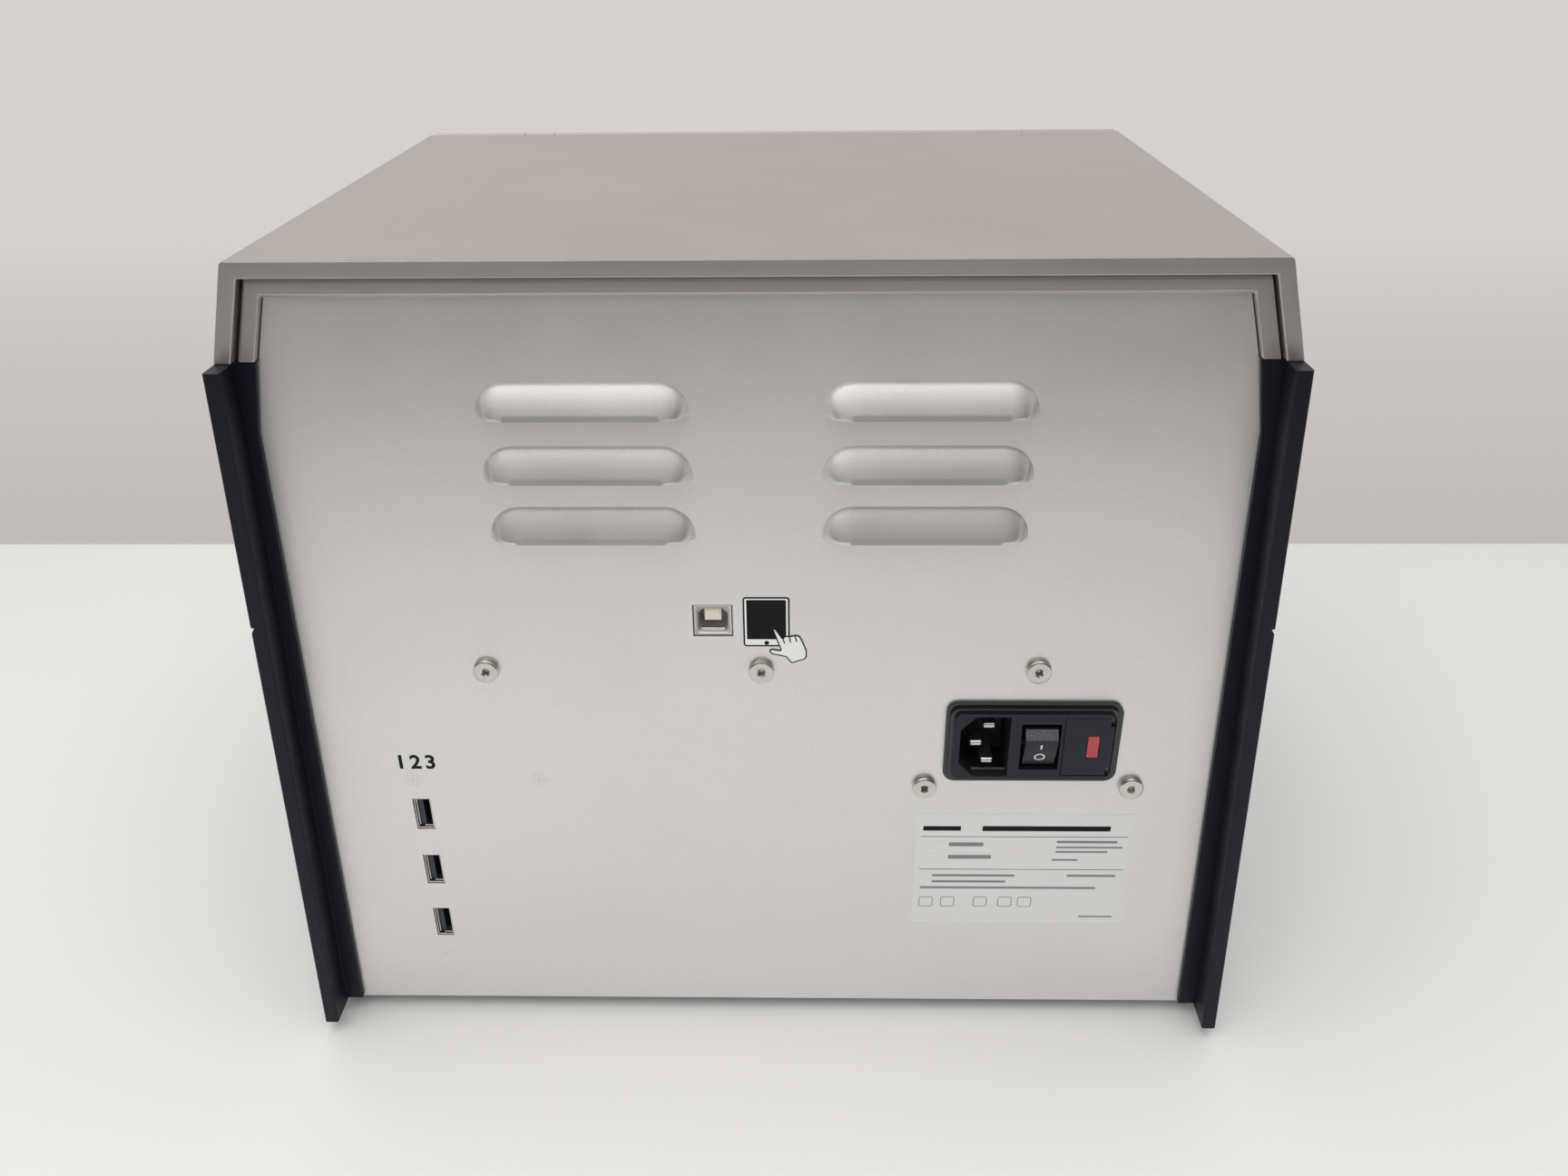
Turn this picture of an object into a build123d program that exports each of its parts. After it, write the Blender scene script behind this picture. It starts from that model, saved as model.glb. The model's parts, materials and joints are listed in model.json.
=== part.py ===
from build123d import *
import os
from math import atan, cos, hypot, radians, sin, tan

os.makedirs("parts", exist_ok=True)

# Bench instrument that draws nucleic acid out of samples with magnetic rods.
# Millimetres. +Z up, the door faces -Y, the connector side faces +Y, the table is at Z = 0.

# --- outer form ---
overall_depth = 330.0
overall_width = 328.4  # over the feet of the side panels
top_height = 284.4
band_height = 28.8  # top cover, from its seam with the side panels to its top
side_splay = 12.1  # how far each side panel leans out from the seam to its foot
cover_splay = 8.0  # how far each cheek of the cover leans out
skirt_height = 5.0  # underside of the side panels above the table
skirt_reveal = 1.0  # front and rear panels, above the side panels' underside
rim_inset = 7.7  # rear rim of the cover, in from the ends of the side panels
slope_run = 102.3  # how far the sloped front reaches back
plinth_height = 62.0  # where the sloped front ends above the fixed lower panel

# --- walls and clearances ---
panel_wall = 4.9
cover_wall = 4.8
sheet = 1.5
seat_gap = 0.3  # between pieces that only stand next to each other
run_gap = 0.05  # radial clearance of a shaft in its hole
screw_gap = 0.1  # radial clearance round a screw
edge_round = 1.5

# --- rear ---
frame_proud = 2.7  # rear frame beyond the rear panel
frame_bar = 5.5  # height of the frame's top bar
frame_leg = 5.1  # thickness of its legs
frame_depth = 16.0
frame_break = 1.0  # bevel round its rear rim
frame_shell_gap = 0.8
rear_inset = 12.4  # rear panel face, in from the ends of the side panels
flange_width = 6.1  # at its top and its foot
flange_kink_drop = 22.3  # below the seam
flange_kink_width = 3.3
flange_proud = 1.8
flange_tuck = 3.0  # how far the rear panel runs in behind the flange
groove_drop = 81.2  # below the seam
groove_deep = 1.2
groove_tall = 2.0
boss_radius = 6.0
boss_sides = 8

# --- louvres ---
louvre_width = 60.2
louvre_tall = 9.4
louvre_proud = 4.6
louvre_corner = 8.4
louvre_wall = 1.0
louvre_offset = 50.2  # column centre from the middle
louvre_drop = 36.6  # top edge of the highest, below the cover's top
louvre_pitch = 19.6
louvre_rows = 3

# --- power module in the rear panel ---
# places across the panel are measured in from the seam's half width
module_width = 57.6
module_tall = 31.0
module_inset = 63.3
module_z = 124.5
module_corner = 4.0
module_step = 1.25
module_rim = 1.3
module_body_inset = 3.5
module_depth = 26.0
inlet_offset = 16.0  # inlet cavity centre from the module's middle
inlet_width = 16.2
inlet_tall = 23.6
inlet_chamfer = 5.0
inlet_depth = 17.0
pin_wide = 4.0
pin_thick = 2.0
pin_length = 15.0
pin_spread = 7.0
pin_break = 0.5
switch_offset = -2.2
switch_width = 12.8
switch_tall = 18.0
switch_depth = 12.0
rocker_width = 10.6
rocker_tall = 15.4
drawer_offset = -17.9
drawer_width = 16.5
drawer_tall = 23.0
drawer_face = 1.6
drawer_depth = 21.0
drawer_gap = 0.2
drawer_notch = 1.7
lens_width = 4.0
lens_tall = 8.7
fuse_radius = 2.5
fuse_length = 15.0

# --- connectors and screws in the rear panel ---
port_inset = 34.3
port_rise = 93.0  # middle of the highest
port_pitch = 24.8
port_rows = 3
port_width = 6.2
port_tall = 13.3
port_wall = 0.4
link_x = 15.0
link_z = 170.2
link_width = 12.6
link_tall = 11.4
link_wall = 1.6
mouth_inset = 0.4
stud_inset = 32.8  # outer column
stud_spread = 43.0
stud_upper = 107.8
stud_lower = 28.1
stud_flat = 5.7
standoff_length = 8.0
board_thick = 1.6
screw_head_radius = 4.1
screw_head_tall = 2.0
screw_radius = 1.5
screw_length = 6.0
shelf_screw_inset = 63.4
shelf_screw_z = 152.0
supply_screw_inset = 28.5
supply_screw_spread = 69.4
supply_screw_z = 105.9

# --- chassis ---
vent_width = 4.0
foot_radius = 11.0
foot_tall = 7.5
foot_inset_x = 28.0
foot_inset_y = 30.0
base_thick = 2.0
frame_plate_inset = 16.1  # inner face of the upright side plates, in from the seam
frame_plate_drop = 22.4  # their top, below the cover's top
door_clear = 8.0  # side plates behind the sloped front's outer face
bay_depth = 59.1  # rear bay, bulkhead to rear panel
fan_size = 57.0
fan_depth = 20.0
fan_bore = 27.0
fan_hub = 11.0
fan_blades = 7

# --- front door ---
mitre_gap = 0.4
sill_gap = 1.2
band_gap = 0.8
bead_radius = 3.0
rod_radius = 1.5
hinge_x = 98.0
hinge_half = 6.0
hinge_reach = 26.0
hinge_notch = 0.4
window_inset_side = 24.0
window_inset_top = 30.0
window_inset_base = 26.0
window_corner = 12.0
pane_thick = 3.0
pane_lap = 8.0
magnet_width = 24.0
magnet_deep = 8.0
magnet_tall = 12.0
strike_thick = 1.0
light_width = 26.0
light_tall = 4.0
scoop_width = 70.0
scoop_deep = 8.0

# --- deck ---
head_back = 22.5  # middle of the rod field, behind the middle of the deck
deck_front = 38.5  # front edge of the deck tray, in from the front
deck_trim = 190.0  # depth of the instrument that the deck doesn't take up
deck_half_x = 95.0
rail_x = 75.0
rail_width = 12.0
rail_tall = 8.0
rail_break = 0.8
rail_foot_over = 4.0  # rail's foot beyond the rail, each side
rail_foot = 12.5
rail_start = 15.0  # in from the front
rail_stop = 30.0  # short of the bulkhead
carriage_width = 27.0
carriage_length = 34.0
carriage_tall = 11.0
carriage_inset = 25.0  # in from the ends of the deck
plate_thick = 6.0
deck_slot_long = 50.0
deck_slot_wide = 16.0
deck_slot_spread = 80.0
heater_tall = 10.0
nest_side = 8.0  # tray wall outside each plate nest
nest_gap = 3.0  # half the bar between the two nests
nest_rim = 11.0  # deck length that the plate nests leave
tray_tall = 14.0
tray_over = 3.0  # tray beyond the edge of the deck plate, each side, in X
tray_lap = 2.0  # and in Y
tray_corner = 4.0
well_size = 7.0  # square pockets, as under a deep-well plate
well_deep = 8.0
motor_size = 35.0
motor_depth = 24.0
screw_shaft_radius = 4.0
deck_screw_rise = 19.5  # lead screw above the base plate
bearing_width = 28.0
bearing_depth = 10.0
bearing_drop = 2.0  # its top, below the deck plate
nut_half = 12.0
nut_length = 22.0
nut_drop = 16.0

# --- head ---
shaft_x = 105.0
shaft_back = 72.5  # guide shafts, behind the middle of the deck
shaft_radius = 5.0
gantry_back = 18.0  # front of the gantry, behind the shafts
gantry_thick = 4.0
gantry_drop = 172.4  # its foot, below the cover's top
block_width = 20.0
block_tall = 12.0
upper_block_drop = 34.4
bushing_radius = 8.0
bushing_length = 26.0
housing_width = 22.0
housing_reach = 10.0  # behind the shafts
head_plate_ahead = 16.0  # front of the carriage plate, ahead of the shafts
head_half_x = 92.0
head_long = 69.0
head_drop = 44.4  # its top plate, below the cover's top
head_tall = 90.0
head_top_thick = 4.0
holder_thick = 4.0
housing_drop = 48.0  # underside of the bushing housings, below the head's top
housing_tall = 30.0
head_motor_rise = 4.0  # above the head's top
head_motor_tall = 30.0
lift_motor_tall = 28.0
lift_screw_radius = 3.0
lift_screw_short = 1.0  # its end, above the holder's underside
rod_pitch = 9.0
rod_rows = 8
rod_column_gap = 54.0
magnet_radius = 2.5
rod_sides = 10
magnet_long = 60.0
bar_drop = 24.0  # underside of the magnet bar, below the head's top
bar_thick = 10.0
bar_half_x = 86.0
bar_gap = 2.0  # ahead of the bar; the carriage plate is this and a little more behind it
bar_long = 64.0

# --- lamp ---
lamp_radius = 7.5
lamp_ahead = 14.0  # ahead of the bulkhead
lamp_z = 96.0
lamp_half = 105.0
cap_length = 12.0

# --- worked out from the sizes above ---
base_half_width = overall_width / 2
seam_half_width = base_half_width - side_splay
top_half_width = seam_half_width - cover_splay
seam_height = top_height - band_height
rear_edge = overall_depth / 2
front_y = -overall_depth / 2
rim_y = rear_edge - rim_inset
top_front = front_y + slope_run
top_length = rim_y - top_front
rear_face = rear_edge - rear_inset
rear_inner = rear_face - sheet
frame_face = rear_face + frame_proud
base_top = foot_tall + base_thick
slope_angle = atan((top_front - front_y) / (top_height - plinth_height))
mitre_angle = (radians(90) - slope_angle) / 2  # half the corner between slope and top
slope_length = hypot(top_front - front_y, top_height - plinth_height)
side_lean = atan((base_half_width - seam_half_width) / (seam_height - skirt_height))
cover_lean = atan((seam_half_width - top_half_width) / (top_height - seam_height))
band_depth = band_height
panel_run = panel_wall / cos(side_lean)
cover_run = cover_wall / cos(cover_lean)
frame_plate_x = seam_half_width - frame_plate_inset
frame_plate_top = top_height - frame_plate_drop
frame_plate_outer = frame_plate_x + sheet
hinge_y = top_front + bead_radius * (1 - sin(slope_angle)) / cos(slope_angle)
hinge_z = top_height - bead_radius
cover_front = hinge_y + bead_radius + seat_gap

flange_kink_height = seam_height - flange_kink_drop
groove_height = seam_height - groove_drop
louvre_tops = [top_height - louvre_drop - row * louvre_pitch for row in range(louvre_rows)]
module_x = module_inset - seam_half_width
port_x = seam_half_width - port_inset
port_heights = [port_rise - row * port_pitch for row in range(port_rows)]
stud_columns = (seam_half_width - stud_inset, seam_half_width - stud_inset - stud_spread)
stud_rows = (stud_upper, stud_lower)
shelf_screw_x = (shelf_screw_inset - seam_half_width, 0.0, seam_half_width - shelf_screw_inset)
supply_screw_outer = supply_screw_inset - seam_half_width
supply_screw_x = (supply_screw_outer, supply_screw_outer + supply_screw_spread)
bulkhead_y = rear_inner - bay_depth
deck_half_y = (overall_depth - deck_trim) / 2
deck_y = front_y + deck_front + tray_lap + deck_half_y
rail_front = front_y + rail_start
rail_back = bulkhead_y - rail_stop
carriage_spread = deck_half_y - carriage_inset
nest_x = deck_half_x + tray_over - nest_side - nest_gap
nest_offset = nest_gap + nest_x / 2
nest_y = 2 * deck_half_y - nest_rim
lamp_y = bulkhead_y - lamp_ahead
head_y = deck_y + head_back
shaft_y = deck_y + shaft_back
gantry_face = shaft_y + gantry_back
gantry_base = top_height - gantry_drop
upper_block = top_height - upper_block_drop
housing_back = shaft_y + housing_reach
head_plate_front = shaft_y - head_plate_ahead
head_front = head_plate_front - head_long
head_top = top_height - head_drop
holder_base = head_top - head_tall
housing_base = head_top - housing_drop
head_motor_base = head_top + head_motor_rise
bar_base = head_top - bar_drop
magnet_tip = bar_base - magnet_long
bar_front = head_front + bar_gap
bar_back = bar_front + bar_long


def side_x(z):
    """Half width over the side panels' outer faces at height z."""
    return seam_half_width + (seam_height - z) * tan(side_lean)


def cover_x(z):
    """Half width over the cover's outer faces at height z."""
    return seam_half_width - (z - seam_height) * tan(cover_lean)


def slope_y(z, depth=0.0):
    """Y of the sloped front at height z, depth mm inside its outer face."""
    return top_front - (top_height - z) * tan(slope_angle) + depth / cos(slope_angle)


def flange_x(z, width):
    """Half width to the free edge of the side panels' rear flange at height z."""
    return side_x(z) - panel_run - width


def write(builder, name):
    builder.part.label = name
    export_step(builder.part, f"parts/{name}.step")


def facing_rear(y):
    """Sketch plane at y that looks along -Y; extrude with a negative amount to go rearward."""
    return Plane.XZ.offset(-y)


# ---------------------------------------------------------------- side panels
blank_margin = 30.0  # spare round the leaning wall before it is cut to its two faces
panel_start = seam_half_width - blank_margin
panel_blank = side_splay + 2 * blank_margin
outer_plane = Plane(
    origin=(seam_half_width, 0, seam_height),
    x_dir=(0, 1, 0),
    z_dir=(cos(side_lean), 0, sin(side_lean)),
)
inner_plane = outer_plane.offset(-panel_wall)
boss_margin = 35.0  # screw bosses on the upright side plates, in from the plates' edges
boss_low = skirt_height + boss_margin
boss_middle = (boss_low + seam_height) / 2
boss_high = seam_height - boss_margin
boss_rear = rear_inner - boss_margin
boss_places = (
    (front_y + 2 * boss_margin, boss_low),
    (slope_y(boss_middle, band_depth) + boss_margin, boss_middle),
    (slope_y(boss_high, band_depth) + boss_margin, boss_high),
    (boss_rear, boss_low),
    (boss_rear, boss_middle),
    (boss_rear, boss_high),
)

with BuildPart() as right_side_panel:
    with BuildSketch(Plane.YZ.offset(panel_start)):
        with BuildLine():
            Polyline(
                (rear_edge, skirt_height),
                (rear_edge, seam_height),
                (slope_y(seam_height, band_depth), seam_height),
                (slope_y(plinth_height, band_depth), plinth_height),
                (front_y, plinth_height),
                (front_y, skirt_height),
                close=True,
            )
        make_face()
    extrude(amount=panel_blank)
    split(bisect_by=outer_plane, keep=Keep.BOTTOM)
    split(bisect_by=inner_plane, keep=Keep.TOP)
    rear_ends = right_side_panel.edges().filter_by(Axis.Y, reverse=True).group_by(Axis.Y)[-1]
    fillet(rear_ends.filter_by(lambda e: e.length > panel_blank), radius=edge_round / 2)
    with BuildSketch(facing_rear(rear_edge)):
        with BuildLine():
            Polyline(
                (side_x(groove_height) + groove_deep, groove_height),
                (side_x(groove_height) - groove_deep, groove_height),
                (side_x(groove_height - groove_tall) + groove_deep, groove_height - 2 * groove_tall),
                close=True,
            )
        make_face()
    extrude(amount=overall_depth, mode=Mode.SUBTRACT)
    with BuildSketch(Plane.YZ.offset(frame_plate_outer)):
        with Locations(*boss_places):
            RegularPolygon(boss_radius, boss_sides)
    extrude(until=Until.NEXT, target=right_side_panel.part)
    with BuildSketch(facing_rear(rear_face)):
        with BuildLine():
            Polyline(
                (flange_x(seam_height, flange_width), seam_height),
                (flange_x(flange_kink_height, flange_kink_width), flange_kink_height),
                (flange_x(skirt_height, flange_width), skirt_height + edge_round),
                (flange_x(skirt_height, 0), skirt_height + edge_round),
                (flange_x(seam_height, 0), seam_height),
                close=True,
            )
        make_face()
    extrude(amount=-flange_proud)

with BuildPart() as left_side_panel:
    add(mirror(right_side_panel.part, about=Plane.YZ, mode=Mode.PRIVATE))

write(right_side_panel, "right_side_panel")
write(left_side_panel, "left_side_panel")


# ---------------------------------------------------------------- top cover and rear frame
with BuildPart() as top_cover:
    with BuildSketch(facing_rear(rim_y)):
        with BuildLine():
            Polyline(
                (-seam_half_width, seam_height),
                (-top_half_width, top_height),
                (top_half_width, top_height),
                (seam_half_width, seam_height),
                (seam_half_width - cover_run, seam_height),
                (cover_x(top_height - cover_wall) - cover_run, top_height - cover_wall),
                (cover_run - cover_x(top_height - cover_wall), top_height - cover_wall),
                (cover_run - seam_half_width, seam_height),
                close=True,
            )
        make_face()
    extrude(amount=top_length)
    long_edges = top_cover.edges().filter_by(Axis.Y).group_by(Axis.Z)[-1]
    fillet(long_edges, radius=edge_round)
    with BuildSketch(Plane.YZ.offset(-base_half_width)):
        with BuildLine():
            Polyline(
                (top_front - bead_radius, top_height + bead_radius),
                (cover_front, top_height + bead_radius),
                (cover_front, top_height - (cover_front - top_front) / tan(mitre_angle)),
                (slope_y(seam_height, band_depth), seam_height),
                (top_front - bead_radius, seam_height),
                close=True,
            )
        make_face()
    extrude(amount=2 * base_half_width, mode=Mode.SUBTRACT)
write(top_cover, "top_cover")

frame_top = top_height - cover_wall - seat_gap
bar_low = frame_top - frame_bar
with BuildPart() as rear_frame:
    with BuildSketch(facing_rear(frame_face)):
        with BuildLine():
            Polyline(
                (cover_run + frame_shell_gap - seam_half_width, seam_height),
                (cover_run + frame_shell_gap - cover_x(frame_top), frame_top),
                (cover_x(frame_top) - cover_run - frame_shell_gap, frame_top),
                (seam_half_width - cover_run - frame_shell_gap, seam_height),
                (seam_half_width - cover_run - frame_shell_gap - frame_leg, seam_height),
                (cover_x(bar_low) - cover_run - frame_shell_gap - frame_leg, bar_low),
                (cover_run + frame_shell_gap + frame_leg - cover_x(bar_low), bar_low),
                (cover_run + frame_shell_gap + frame_leg - seam_half_width, seam_height),
                close=True,
            )
        make_face()
    extrude(amount=frame_depth)
    rear_rim = rear_frame.faces().sort_by(Axis.Y)[-1].outer_wire().edges()
    chamfer(rear_rim.sort_by(Axis.Z)[-3:], length=frame_break)
write(rear_frame, "rear_frame")


# ---------------------------------------------------------------- rear panel
def louvre_form(inset):
    """A pressed hood at the origin, its top edge on Z = 0, shrunk by inset on every closed side."""
    tall = louvre_tall - inset
    proud = louvre_proud - inset
    with BuildPart() as hood:
        with BuildSketch(Plane.XZ.offset(sheet if inset else 0)):
            with Locations((0, -inset - tall / 2)):
                Rectangle(louvre_width - 2 * inset, tall)
            fillet(vertices().group_by(Axis.Y)[-1], radius=louvre_corner - inset)
        extrude(amount=-(proud + (sheet if inset else 0)))
        slant = Plane(origin=(0, 0, -inset), x_dir=(1, 0, 0), z_dir=(0, tall, proud))
        split(bisect_by=slant, keep=Keep.BOTTOM)
    return hood.part


def frame_inner_x(z):
    """Half width inside the rear frame's legs at height z, less a seat gap."""
    return cover_x(z) - cover_run - frame_shell_gap - frame_leg - seat_gap


panel_top = bar_low - seat_gap
panel_base = skirt_height + skirt_reveal
half_outline = (
    (frame_inner_x(panel_top), panel_top),
    (frame_inner_x(seam_height), seam_height - seat_gap),
    (flange_x(seam_height, flange_width - flange_tuck), seam_height - seat_gap),
    (flange_x(flange_kink_height, seat_gap), flange_kink_height),
    (flange_x(panel_base, flange_width - flange_tuck), panel_base),
)
panel_outline = [*half_outline, *((-x, z) for x, z in reversed(half_outline))]
louvre_places = [(x, z) for z in louvre_tops for x in (-louvre_offset, louvre_offset)]
module_cut_width = module_width - 2 * module_body_inset
module_cut_tall = module_tall - 2 * module_body_inset
shelf_screws = [(x, shelf_screw_z) for x in shelf_screw_x]
supply_screws = [(x, supply_screw_z) for x in supply_screw_x]
stud_places = [(x, z) for x in stud_columns for z in stud_rows]

with BuildPart() as rear_panel:
    with BuildSketch(facing_rear(rear_face)):
        with BuildLine():
            Polyline(*panel_outline, close=True)
        make_face()
        with Locations(*((port_x, z) for z in port_heights)):
            Rectangle(port_width, port_tall, mode=Mode.SUBTRACT)
        with Locations((link_x, link_z)):
            Rectangle(link_width, link_tall, mode=Mode.SUBTRACT)
        with Locations((module_x, module_z)):
            Rectangle(module_cut_width, module_cut_tall, mode=Mode.SUBTRACT)
        with Locations(*shelf_screws, *supply_screws):
            Circle(screw_radius + screw_gap, mode=Mode.SUBTRACT)
        with Locations(*stud_places):
            RegularPolygon(stud_flat / 2, 6, major_radius=False, mode=Mode.SUBTRACT)
    extrude(amount=sheet)
    for x, z in louvre_places:
        add(louvre_form(0).moved(Location((x, rear_face, z))))
    for x, z in louvre_places:
        add(louvre_form(louvre_wall).moved(Location((x, rear_face, z))), mode=Mode.SUBTRACT)
write(rear_panel, "rear_panel")

socket_flat = 2.0
socket_deep = 1.2
with BuildPart() as panel_screws:
    with BuildSketch(facing_rear(rear_face)):
        with Locations(*shelf_screws, *supply_screws):
            Circle(screw_head_radius)
    extrude(amount=-screw_head_tall)
    crowns = panel_screws.faces().filter_by(Axis.Y).group_by(Axis.Y)[-1]
    chamfer(crowns.edges(), length=screw_head_tall / 4)
    with BuildSketch(facing_rear(rear_face)):
        with Locations(*shelf_screws, *supply_screws):
            Circle(screw_radius)
    extrude(amount=screw_length)
    with BuildSketch(facing_rear(rear_face + screw_head_tall)):
        with Locations(*shelf_screws, *supply_screws):
            RegularPolygon(socket_flat / 2, 6, major_radius=False)
    extrude(amount=socket_deep, mode=Mode.SUBTRACT)
write(panel_screws, "panel_screws")

pillar_radius = 2.8
with BuildPart() as clinch_studs:
    with BuildSketch(facing_rear(rear_face)):
        with Locations(*stud_places):
            RegularPolygon(stud_flat / 2 - run_gap, 6, major_radius=False)
    extrude(amount=sheet)
    with BuildSketch(facing_rear(rear_inner)):
        with Locations(*stud_places):
            RegularPolygon(pillar_radius, 6)
    extrude(amount=standoff_length)
write(clinch_studs, "clinch_studs")

# ---------------------------------------------------------------- connector boards
board_margin = 5.0
board_face = rear_inner - standoff_length
mouth_y = rear_face - mouth_inset
port_places = [(port_x, z) for z in port_heights]
tongue_thick = 1.8
tongue_short = 1.0
link_cavity = 8.0
link_depth = 13.0
link_tongue = 3.2
link_floor = link_z - link_tall / 2 + port_wall / 2
with BuildPart() as port_shells:
    with BuildSketch(facing_rear(mouth_y)):
        with Locations(*port_places):
            Rectangle(port_width - port_wall, port_tall - port_wall)
            Rectangle(port_width - 3 * port_wall, port_tall - 3 * port_wall, mode=Mode.SUBTRACT)
    extrude(amount=mouth_y - board_face)
    with BuildSketch(facing_rear(mouth_y)):
        with Locations((link_x, link_z)):
            Rectangle(link_width - port_wall, link_tall - port_wall)
    extrude(amount=link_depth)
    with BuildSketch(facing_rear(mouth_y)):
        with Locations((link_x, link_z)):
            Rectangle(link_cavity, link_cavity)
            chamfer(vertices().group_by(Axis.Y)[-1], length=link_wall)
    extrude(amount=link_depth - link_wall, mode=Mode.SUBTRACT)
write(port_shells, "port_shells")

with BuildPart() as port_tongues:
    with BuildSketch(facing_rear(mouth_y - tongue_short)):
        with Locations(*((x + tongue_thick / 2, z) for x, z in port_places)):
            Rectangle(tongue_thick, port_tall - 5 * port_wall)
    extrude(amount=mouth_y - tongue_short - board_face)
    with BuildSketch(facing_rear(mouth_y - tongue_short)):
        with Locations((link_x, link_z)):
            Rectangle(link_cavity - link_tongue + port_wall, link_tongue)
    extrude(amount=link_depth - link_wall - tongue_short)
write(port_tongues, "port_tongues")

link_board_width = 28.0
link_board_long = 40.0
with BuildPart() as port_boards:
    with BuildSketch(facing_rear(board_face)):
        with Locations((sum(stud_columns) / 2, sum(stud_rows) / 2)):
            Rectangle(
                stud_columns[0] - stud_columns[1] + 2 * board_margin,
                stud_rows[0] - stud_rows[1] + 2 * board_margin,
            )
    extrude(amount=board_thick)
    with BuildSketch(Plane.XY.offset(link_floor - board_thick)):
        with Locations((link_x, rear_inner - seat_gap - link_board_long / 2)):
            Rectangle(link_board_width, link_board_long)
    extrude(amount=board_thick)
write(port_boards, "port_boards")

# ---------------------------------------------------------------- shelf in the rear bay
shelf_over = 7.3  # beyond its outer screws
shelf_half = shelf_screw_x[-1] + shelf_over
shelf_flange = 12.0
shelf_z = shelf_screw_z - shelf_flange / 2
post_radius = 2.8  # six-sided posts, over the corners
post_inset = 4.0
board_rise = 6.0
control_width = 82.0
control_long = 48.0
control_margin = 5.0
control_x = control_margin + control_width / 2 - shelf_half
control_y = (bulkhead_y + sheet + rear_inner) / 2
shelf_top = shelf_z + sheet
bulkhead_back = bulkhead_y + sheet
with BuildPart() as bay_shelf:
    with BuildSketch(Plane.XY.offset(shelf_z)):
        with Locations((0, (bulkhead_back + rear_inner) / 2)):
            Rectangle(2 * shelf_half, rear_inner - bulkhead_back)
    extrude(amount=sheet)
    with BuildSketch(facing_rear(rear_inner)):
        with Locations((0, shelf_z + shelf_flange / 2)):
            Rectangle(2 * shelf_half, shelf_flange)
        with Locations(*shelf_screws):
            Circle(screw_radius + screw_gap, mode=Mode.SUBTRACT)
    extrude(amount=sheet)
    with BuildSketch(Plane.XY.offset(shelf_top)):
        with Locations((link_x, rear_inner - seat_gap - link_board_long / 2)):
            with GridLocations(link_board_width - 2 * post_inset, link_board_long - 2 * post_inset, 2, 2):
                RegularPolygon(post_radius, 6)
    extrude(amount=link_floor - board_thick - shelf_top)
    with BuildSketch(Plane.XY.offset(shelf_top)):
        with Locations((control_x, control_y)):
            with GridLocations(control_width - 2 * post_inset, control_long - 2 * post_inset, 2, 2):
                RegularPolygon(post_radius, 6)
    extrude(amount=board_rise)
write(bay_shelf, "bay_shelf")

with BuildPart() as control_board:
    with BuildSketch(Plane.XY.offset(shelf_top + board_rise)):
        with Locations((control_x, control_y)):
            Rectangle(control_width, control_long)
    extrude(amount=board_thick)
write(control_board, "control_board")

board_top = shelf_top + board_rise + board_thick
chip_size = 14.0
chip_tall = 3.5
header_long = 12.0
header_wide = 7.0
header_pitch = 18.0
header_spread = 34.0
relay_size = 8.0
relay_spread = 50.0
relay_tall = 11.0
with BuildPart() as board_parts:
    with BuildSketch(Plane.XY.offset(board_top)):
        with Locations((control_x, control_y)):
            Rectangle(chip_size, chip_size)
            with GridLocations(header_pitch, header_spread, 4, 2):
                Rectangle(header_long, header_wide)
    extrude(amount=chip_tall)
    with BuildSketch(Plane.XY.offset(board_top)):
        with Locations((control_x, control_y)):
            with GridLocations(relay_spread, chip_size, 2, 1):
                Rectangle(relay_size, 2 * relay_size)
    extrude(amount=relay_tall)
write(board_parts, "board_parts")

# ---------------------------------------------------------------- power supply and its bracket
supply_width = 78.0
supply_long = 48.0
supply_drop = 10.9  # its top, below the screws of its bracket
supply_slots = 7
supply_slot_pitch = 10.0
supply_slot_deep = 3.0
supply_x = sum(supply_screw_x) / 2
supply_y = (bulkhead_back + rear_inner) / 2
supply_top = supply_screw_z - supply_drop
supply_tall = supply_top - base_top
with BuildPart() as power_supply:
    with BuildSketch(Plane.XY.offset(base_top)):
        with Locations((supply_x, supply_y)):
            Rectangle(supply_width, supply_long)
    extrude(amount=supply_tall)
    with BuildSketch(facing_rear(supply_y - supply_long / 2)):
        with Locations((supply_x, base_top + supply_tall / 2)):
            with GridLocations(0, supply_slot_pitch, 1, supply_slots):
                Rectangle(supply_width - 2 * supply_slot_pitch, vent_width)
    extrude(amount=-supply_slot_deep, mode=Mode.SUBTRACT)
write(power_supply, "power_supply")

bracket_rise = 15.0
with BuildPart() as supply_bracket:
    with BuildSketch(Plane.XY.offset(supply_top)):
        with Locations((supply_x, (supply_y - supply_long / 2 + rear_inner) / 2)):
            Rectangle(supply_width, rear_inner - supply_y + supply_long / 2)
    extrude(amount=sheet)
    with BuildSketch(facing_rear(rear_inner)):
        with Locations((supply_x, supply_top + bracket_rise / 2)):
            Rectangle(supply_width, bracket_rise)
        with Locations(*supply_screws):
            Circle(screw_radius + screw_gap, mode=Mode.SUBTRACT)
    extrude(amount=sheet)
write(supply_bracket, "supply_bracket")

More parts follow.
